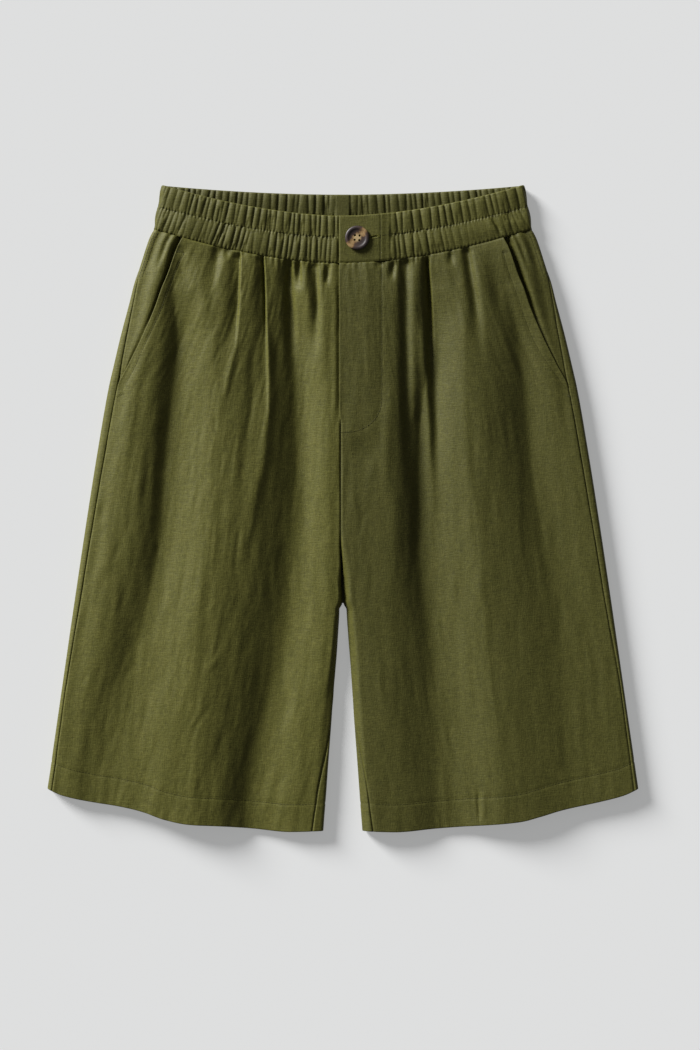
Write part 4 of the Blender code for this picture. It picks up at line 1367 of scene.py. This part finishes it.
CLOTHS = {
    "front_right": front_right,
    "front_left": front_left,
    "back_right": back_right,
    "back_left": back_left,
    "pocket_facing_right": facing_right,
    "pocket_facing_left": facing_left,
    "waistband_front_right": band_right,
    "waistband_front_left": band_left,
    "waistband_back": band_back,
}
for cad_node, cloth in CLOTHS.items():
    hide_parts(cad_node)

# ---- stitching
STITCH = 1.8
STITCH_GAP = 0.85
THREAD_RADIUS = 0.24
STITCH_SIDES = 6
# Rings of a stitch: the place along it, its size, and its height in radii of the thread
STITCH_RINGS = (
    (-0.5, 0.25, -1.1), (-0.42, 0.8, -0.35), (-0.2, 1.0, 0.25),
    (0.2, 1.0, 0.25), (0.42, 0.8, -0.35), (0.5, 0.25, -1.1),
)
STITCH_STEEPEST = 1.5  # no stitch crosses a step higher than this
DROP_FROM = 0.2  # in metres, above all the cloth
DOWN = Vector((0.0, 0.0, -1.0))

ROW_NODES = 40
HEM_ROW = panel_row([HEM_LINE])
BAND_ROW = band_row([1.0])
FACING_ROW_INSETS = (2.6, 5.2)
FACING_ROW_YS = np.linspace(SIDE_WAIST - 3.0, 201.0, 12)
TACK_PITCH = 0.55
TACK_WIDTH = 1.9
TACK = (THREAD_TACK, 1.9, 0.0, 0.18)  # thread, length of a stitch, gap and radius
TACKS = {
    -1: (((-137.8, 223.0), (-144.4, 223.0)), ((-189.6, 101.0), (-196.0, 97.4))),
    1: (((137.4, 223.2), (142.4, 223.2)), ((194.4, 98.6), (200.0, 96.0))),
}
BUTTONHOLE_THREAD = (THREAD_LIGHT, 1.0, 0.0, 0.24)
BUTTONHOLE_PITCH = 0.42
# The buttonhole's two edges and its end: from, to and width
BUTTONHOLE_EDGES = (
    ((22.6, 235.6), (29.4, 237.0), 1.0),
    ((22.6, 233.6), (29.4, 235.0), 1.0),
    ((29.8, 236.1), (31.6, 236.5), 2.8),
)


def tree_of(*objects):
    points, faces = [], []
    for obj in objects:
        offset = len(points)
        points += [v.co for v in obj.data.vertices]
        faces += [[offset + i for i in p.vertices] for p in obj.data.polygons]
    return BVHTree.FromPolygons(points, faces)


def drop_on(tree, x, y):
    """The place and direction of the cloth seen from above at x, y."""
    hit, out, _, _ = tree.ray_cast(Vector((x * MM, y * MM, DROP_FROM)), DOWN)
    if hit is None:
        return None
    return np.array(hit) / MM, np.array(out)


def stitches(name, lines, on, material=THREAD, length=STITCH, gap=STITCH_GAP, radius=THREAD_RADIUS):
    """Rows of thread that lie along lines in plan on the cloth below them."""
    points, faces = [], []
    turns = [2.0 * math.pi * k / STITCH_SIDES for k in range(STITCH_SIDES)]
    for nodes in lines:
        marks = polyline(nodes, length + gap)
        for a, b in zip(marks[:-1], marks[1:]):
            direction = (b - a) / np.linalg.norm(b - a)
            middle = (a + b) / 2
            ends = [drop_on(on, *(middle + direction * length * s)) for s in (-0.5, 0.0, 0.5)]
            if any(e is None for e in ends):
                continue
            (first, _), (centre, out), (last, _) = ends
            if max(abs(first[2] - centre[2]), abs(last[2] - centre[2])) > STITCH_STEEPEST:
                continue
            reach = np.linalg.norm(last - first)
            along = (last - first) / reach
            up = out - along * (out @ along)
            up = up / np.linalg.norm(up)
            side = np.cross(along, up)
            start = len(points)
            for share, size, lift in STITCH_RINGS:
                on_line = centre + along * share * reach + up * lift * radius
                for turn in turns:
                    ring = side * math.cos(turn) + up * math.sin(turn)
                    points.append(on_line + ring * radius * size)
            for low in range(start, len(points) - STITCH_SIDES, STITCH_SIDES):
                high = low + STITCH_SIDES
                for k in range(STITCH_SIDES):
                    after = (k + 1) % STITCH_SIDES
                    faces.append((low + k, low + after, high + after, high + k))
            faces.append(tuple(range(start, start + STITCH_SIDES))[::-1])
            faces.append(tuple(range(len(points) - STITCH_SIDES, len(points))))
    obj = add_object(name, points, faces, material)
    return obj


def row_nodes(side, row, x_from, x_to):
    """Nodes of a line in plan that follows one row across the front."""
    xs = np.linspace(x_from, x_to, ROW_NODES)
    return list(zip(xs, row_y(row, side, np.abs(xs).reshape(1, -1), True)[0]))


def bar_tack(start, end, width=TACK_WIDTH, pitch=TACK_PITCH):
    """Short threads side by side across a line: a bar tack, or a worked buttonhole's edge."""
    a, b = np.array(start, float), np.array(end, float)
    length = np.linalg.norm(b - a)
    across = np.array((a[1] - b[1], b[0] - a[0])) / length * width / 2
    count = round(length / pitch)
    places = [mix(a, b, k / count) for k in range(count + 1)]
    return [(tuple(p - across), tuple(p + across)) for p in places]


def facing_rows(side):
    """Nodes of the rows beside the side seam, from the waist down."""
    xs = section(FACING_ROW_YS, "half_width")
    return [list(zip(side * (xs - inset), FACING_ROW_YS)) for inset in FACING_ROW_INSETS]


def tacks(side):
    """The bar tacks at both ends of a pocket mouth."""
    return [thread for ends in TACKS[side] for thread in bar_tack(*ends)]


on_right = tree_of(front_right)
on_left = tree_of(front_left)
on_bands = tree_of(band_right, band_left, band_back)
right_rows = [row_nodes(-1, HEM_ROW, -249.5, -23.0), POCKET_STITCH[-1]]
left_rows = [row_nodes(1, HEM_ROW, 27.5, 249.5), FLY_STITCH, POCKET_STITCH[1]]
band_rows = [
    row_nodes(-1, BAND_ROW, -158.5, -5.0),
    row_nodes(1, BAND_ROW, 33.4, 158.5),
    ((TAB_STITCH_X, 252.3), (TAB_STITCH_X, 233.0), (TAB_STITCH_X, 214.6)),
]
thread_front_right = stitches("stitches_front_right", right_rows, on_right)
thread_front_left = stitches("stitches_front_left", left_rows, on_left)
tacks_right = stitches("bar_tacks_right", tacks(-1), on_right, *TACK)
tacks_left = stitches("bar_tacks_left", tacks(1), on_left, *TACK)
thread_facing_right = stitches("stitches_facing_right", facing_rows(-1), tree_of(facing_right))
thread_facing_left = stitches("stitches_facing_left", facing_rows(1), tree_of(facing_left))
thread_band = stitches("stitches_waistband", band_rows, on_bands)

# ---- the button
BUTTON_PROFILE = (
    (0.0, 0.5), (5.0, 0.25), (8.4, 0.0), (9.6, 0.30), (10.3, 0.85), (10.5, 1.35), (10.42, 1.75),
    (10.1, 2.12), (9.6, 2.38), (9.0, 2.50), (8.4, 2.49), (7.9, 2.38), (7.5, 2.16), (7.0, 1.92),
    (6.2, 1.78), (5.0, 1.70), (3.6, 1.66), (0.0, 1.65),
)
BUTTON_SEGMENTS = 96
HOLE_RADIUS = 0.95
HOLE_FLARED = 1.35 * HOLE_RADIUS
HOLE_PROFILE = (
    (0.0, -2.0), (HOLE_RADIUS, -2.0), (HOLE_RADIUS, 1.45), (HOLE_FLARED, 2.1), (HOLE_FLARED, 4.0), (0.0, 4.0),
)
HOLE_SEGMENTS = 24
HOLE_SPACING = 4.0
HOLE_TURN = math.radians(-4.0)
BUTTON_SHARP = math.radians(38)


def lathe(name, profile, segments, centre, material):
    """A closed body turned about the vertical, from its lowest point to its top."""
    points = [(centre[0], centre[1], centre[2] + profile[0][1])]
    for radius, z in profile[1:-1]:
        for k in range(segments):
            turn = 2.0 * math.pi * k / segments
            x, y = centre[0] + radius * math.cos(turn), centre[1] + radius * math.sin(turn)
            points.append((x, y, centre[2] + z))
    points.append((centre[0], centre[1], centre[2] + profile[-1][1]))
    rings = len(profile) - 2
    faces = []
    for k in range(segments):
        after = (k + 1) % segments
        faces.append((0, 1 + after, 1 + k))
        for r in range(rings - 1):
            low, high = 1 + r * segments, 1 + (r + 1) * segments
            faces.append((low + k, low + after, high + after, high + k))
        last = 1 + (rings - 1) * segments
        faces.append((last + k, last + after, len(points) - 1))
    return add_object(name, points, faces, material)


button_low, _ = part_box("button")
button_z = button_low.z / MM
disc = lathe("button_disc", BUTTON_PROFILE, BUTTON_SEGMENTS, (BUTTON_X, BUTTON_Y, button_z), HORN)
cutters = []
for i in (-1, 1):
    for j in (-1, 1):
        dx = HOLE_SPACING / 2 * (i * math.cos(HOLE_TURN) - j * math.sin(HOLE_TURN))
        dy = HOLE_SPACING / 2 * (i * math.sin(HOLE_TURN) + j * math.cos(HOLE_TURN))
        spot = (BUTTON_X + dx, BUTTON_Y + dy, button_z)
        cutter = lathe(f"cutter_{i}_{j}", HOLE_PROFILE, HOLE_SEGMENTS, spot, HORN)
        cut = disc.modifiers.new(cutter.name, "BOOLEAN")
        cut.operation = "DIFFERENCE"
        cut.solver = "EXACT"
        cut.object = cutter
        cutters.append(cutter)
graph = bpy.context.evaluated_depsgraph_get()
cut_mesh = bpy.data.meshes.new_from_object(disc.evaluated_get(graph))
disc.modifiers.clear()
disc.data = cut_mesh
disc.data.set_sharp_from_angle(angle=BUTTON_SHARP)
for cutter in cutters:
    bpy.data.objects.remove(cutter, do_unlink=True)
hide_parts("button")

edge_threads = [thread for edge in BUTTONHOLE_EDGES for thread in bar_tack(*edge, BUTTONHOLE_PITCH)]
buttonhole = stitches("buttonhole_thread", edge_threads, on_bands, *BUTTONHOLE_THREAD)


# ---- floor, light and camera
FLOOR_HALF = 30.0  # in metres, as its level is
FLOOR_LEVEL = -0.00005
FLOOR_CORNERS = ((-1, -1), (1, -1), (1, 1), (-1, 1))

SUN_ELEVATION = math.radians(18.5)
SUN_BEARING = math.radians(42.0)
SUN_STRENGTH = 7.92
SUN_ANGLE = math.radians(20.0)
WORLD_COLOUR = (1.0, 1.0, 1.0, 1.0)
WORLD_STRENGTH = 0.135

PIXEL = 0.8665
IMAGE_HEIGHT = 1050
LENS = 100.0
SENSOR = 36.0
VIEW_X, VIEW_Y, VIEW_Z = 6.2, -13.9, 9.0
CLIP_END = 100.0

scene = bpy.context.scene
floor_mesh = bpy.data.meshes.new("pale_floor")
floor_points = [(FLOOR_HALF * x, FLOOR_HALF * y, 0.0) for x, y in FLOOR_CORNERS]
floor_mesh.from_pydata(floor_points, [], [(0, 1, 2, 3)])
floor_mesh.materials.append(new_material("pale_floor", FLOOR_SURFACE)[0])
floor = bpy.data.objects.new("pale_floor", floor_mesh)
floor.location.z = FLOOR_LEVEL
scene.collection.objects.link(floor)

sun_data = bpy.data.lights.new("key", "SUN")
sun_data.energy = SUN_STRENGTH
sun_data.angle = SUN_ANGLE
sun = bpy.data.objects.new("key", sun_data)
outward = math.cos(SUN_ELEVATION)
travel = Vector(
    (outward * math.cos(SUN_BEARING), -outward * math.sin(SUN_BEARING), -math.sin(SUN_ELEVATION))
)
sun.rotation_euler = travel.to_track_quat("-Z", "Y").to_euler()
scene.collection.objects.link(sun)

world = bpy.data.worlds.new("studio")
world.use_nodes = True
background = world.node_tree.nodes["Background"]
background.inputs["Color"].default_value = WORLD_COLOUR
background.inputs["Strength"].default_value = WORLD_STRENGTH
scene.world = world
scene.view_settings.view_transform = "Standard"

camera_data = bpy.data.cameras.new("camera")
camera_data.lens = LENS
camera_data.sensor_width = SENSOR
camera_data.clip_end = CLIP_END
camera = bpy.data.objects.new("camera", camera_data)
distance = IMAGE_HEIGHT * PIXEL * LENS / SENSOR
camera.location = (VIEW_X * MM, VIEW_Y * MM, (VIEW_Z + distance) * MM)
scene.collection.objects.link(camera)
scene.camera = camera
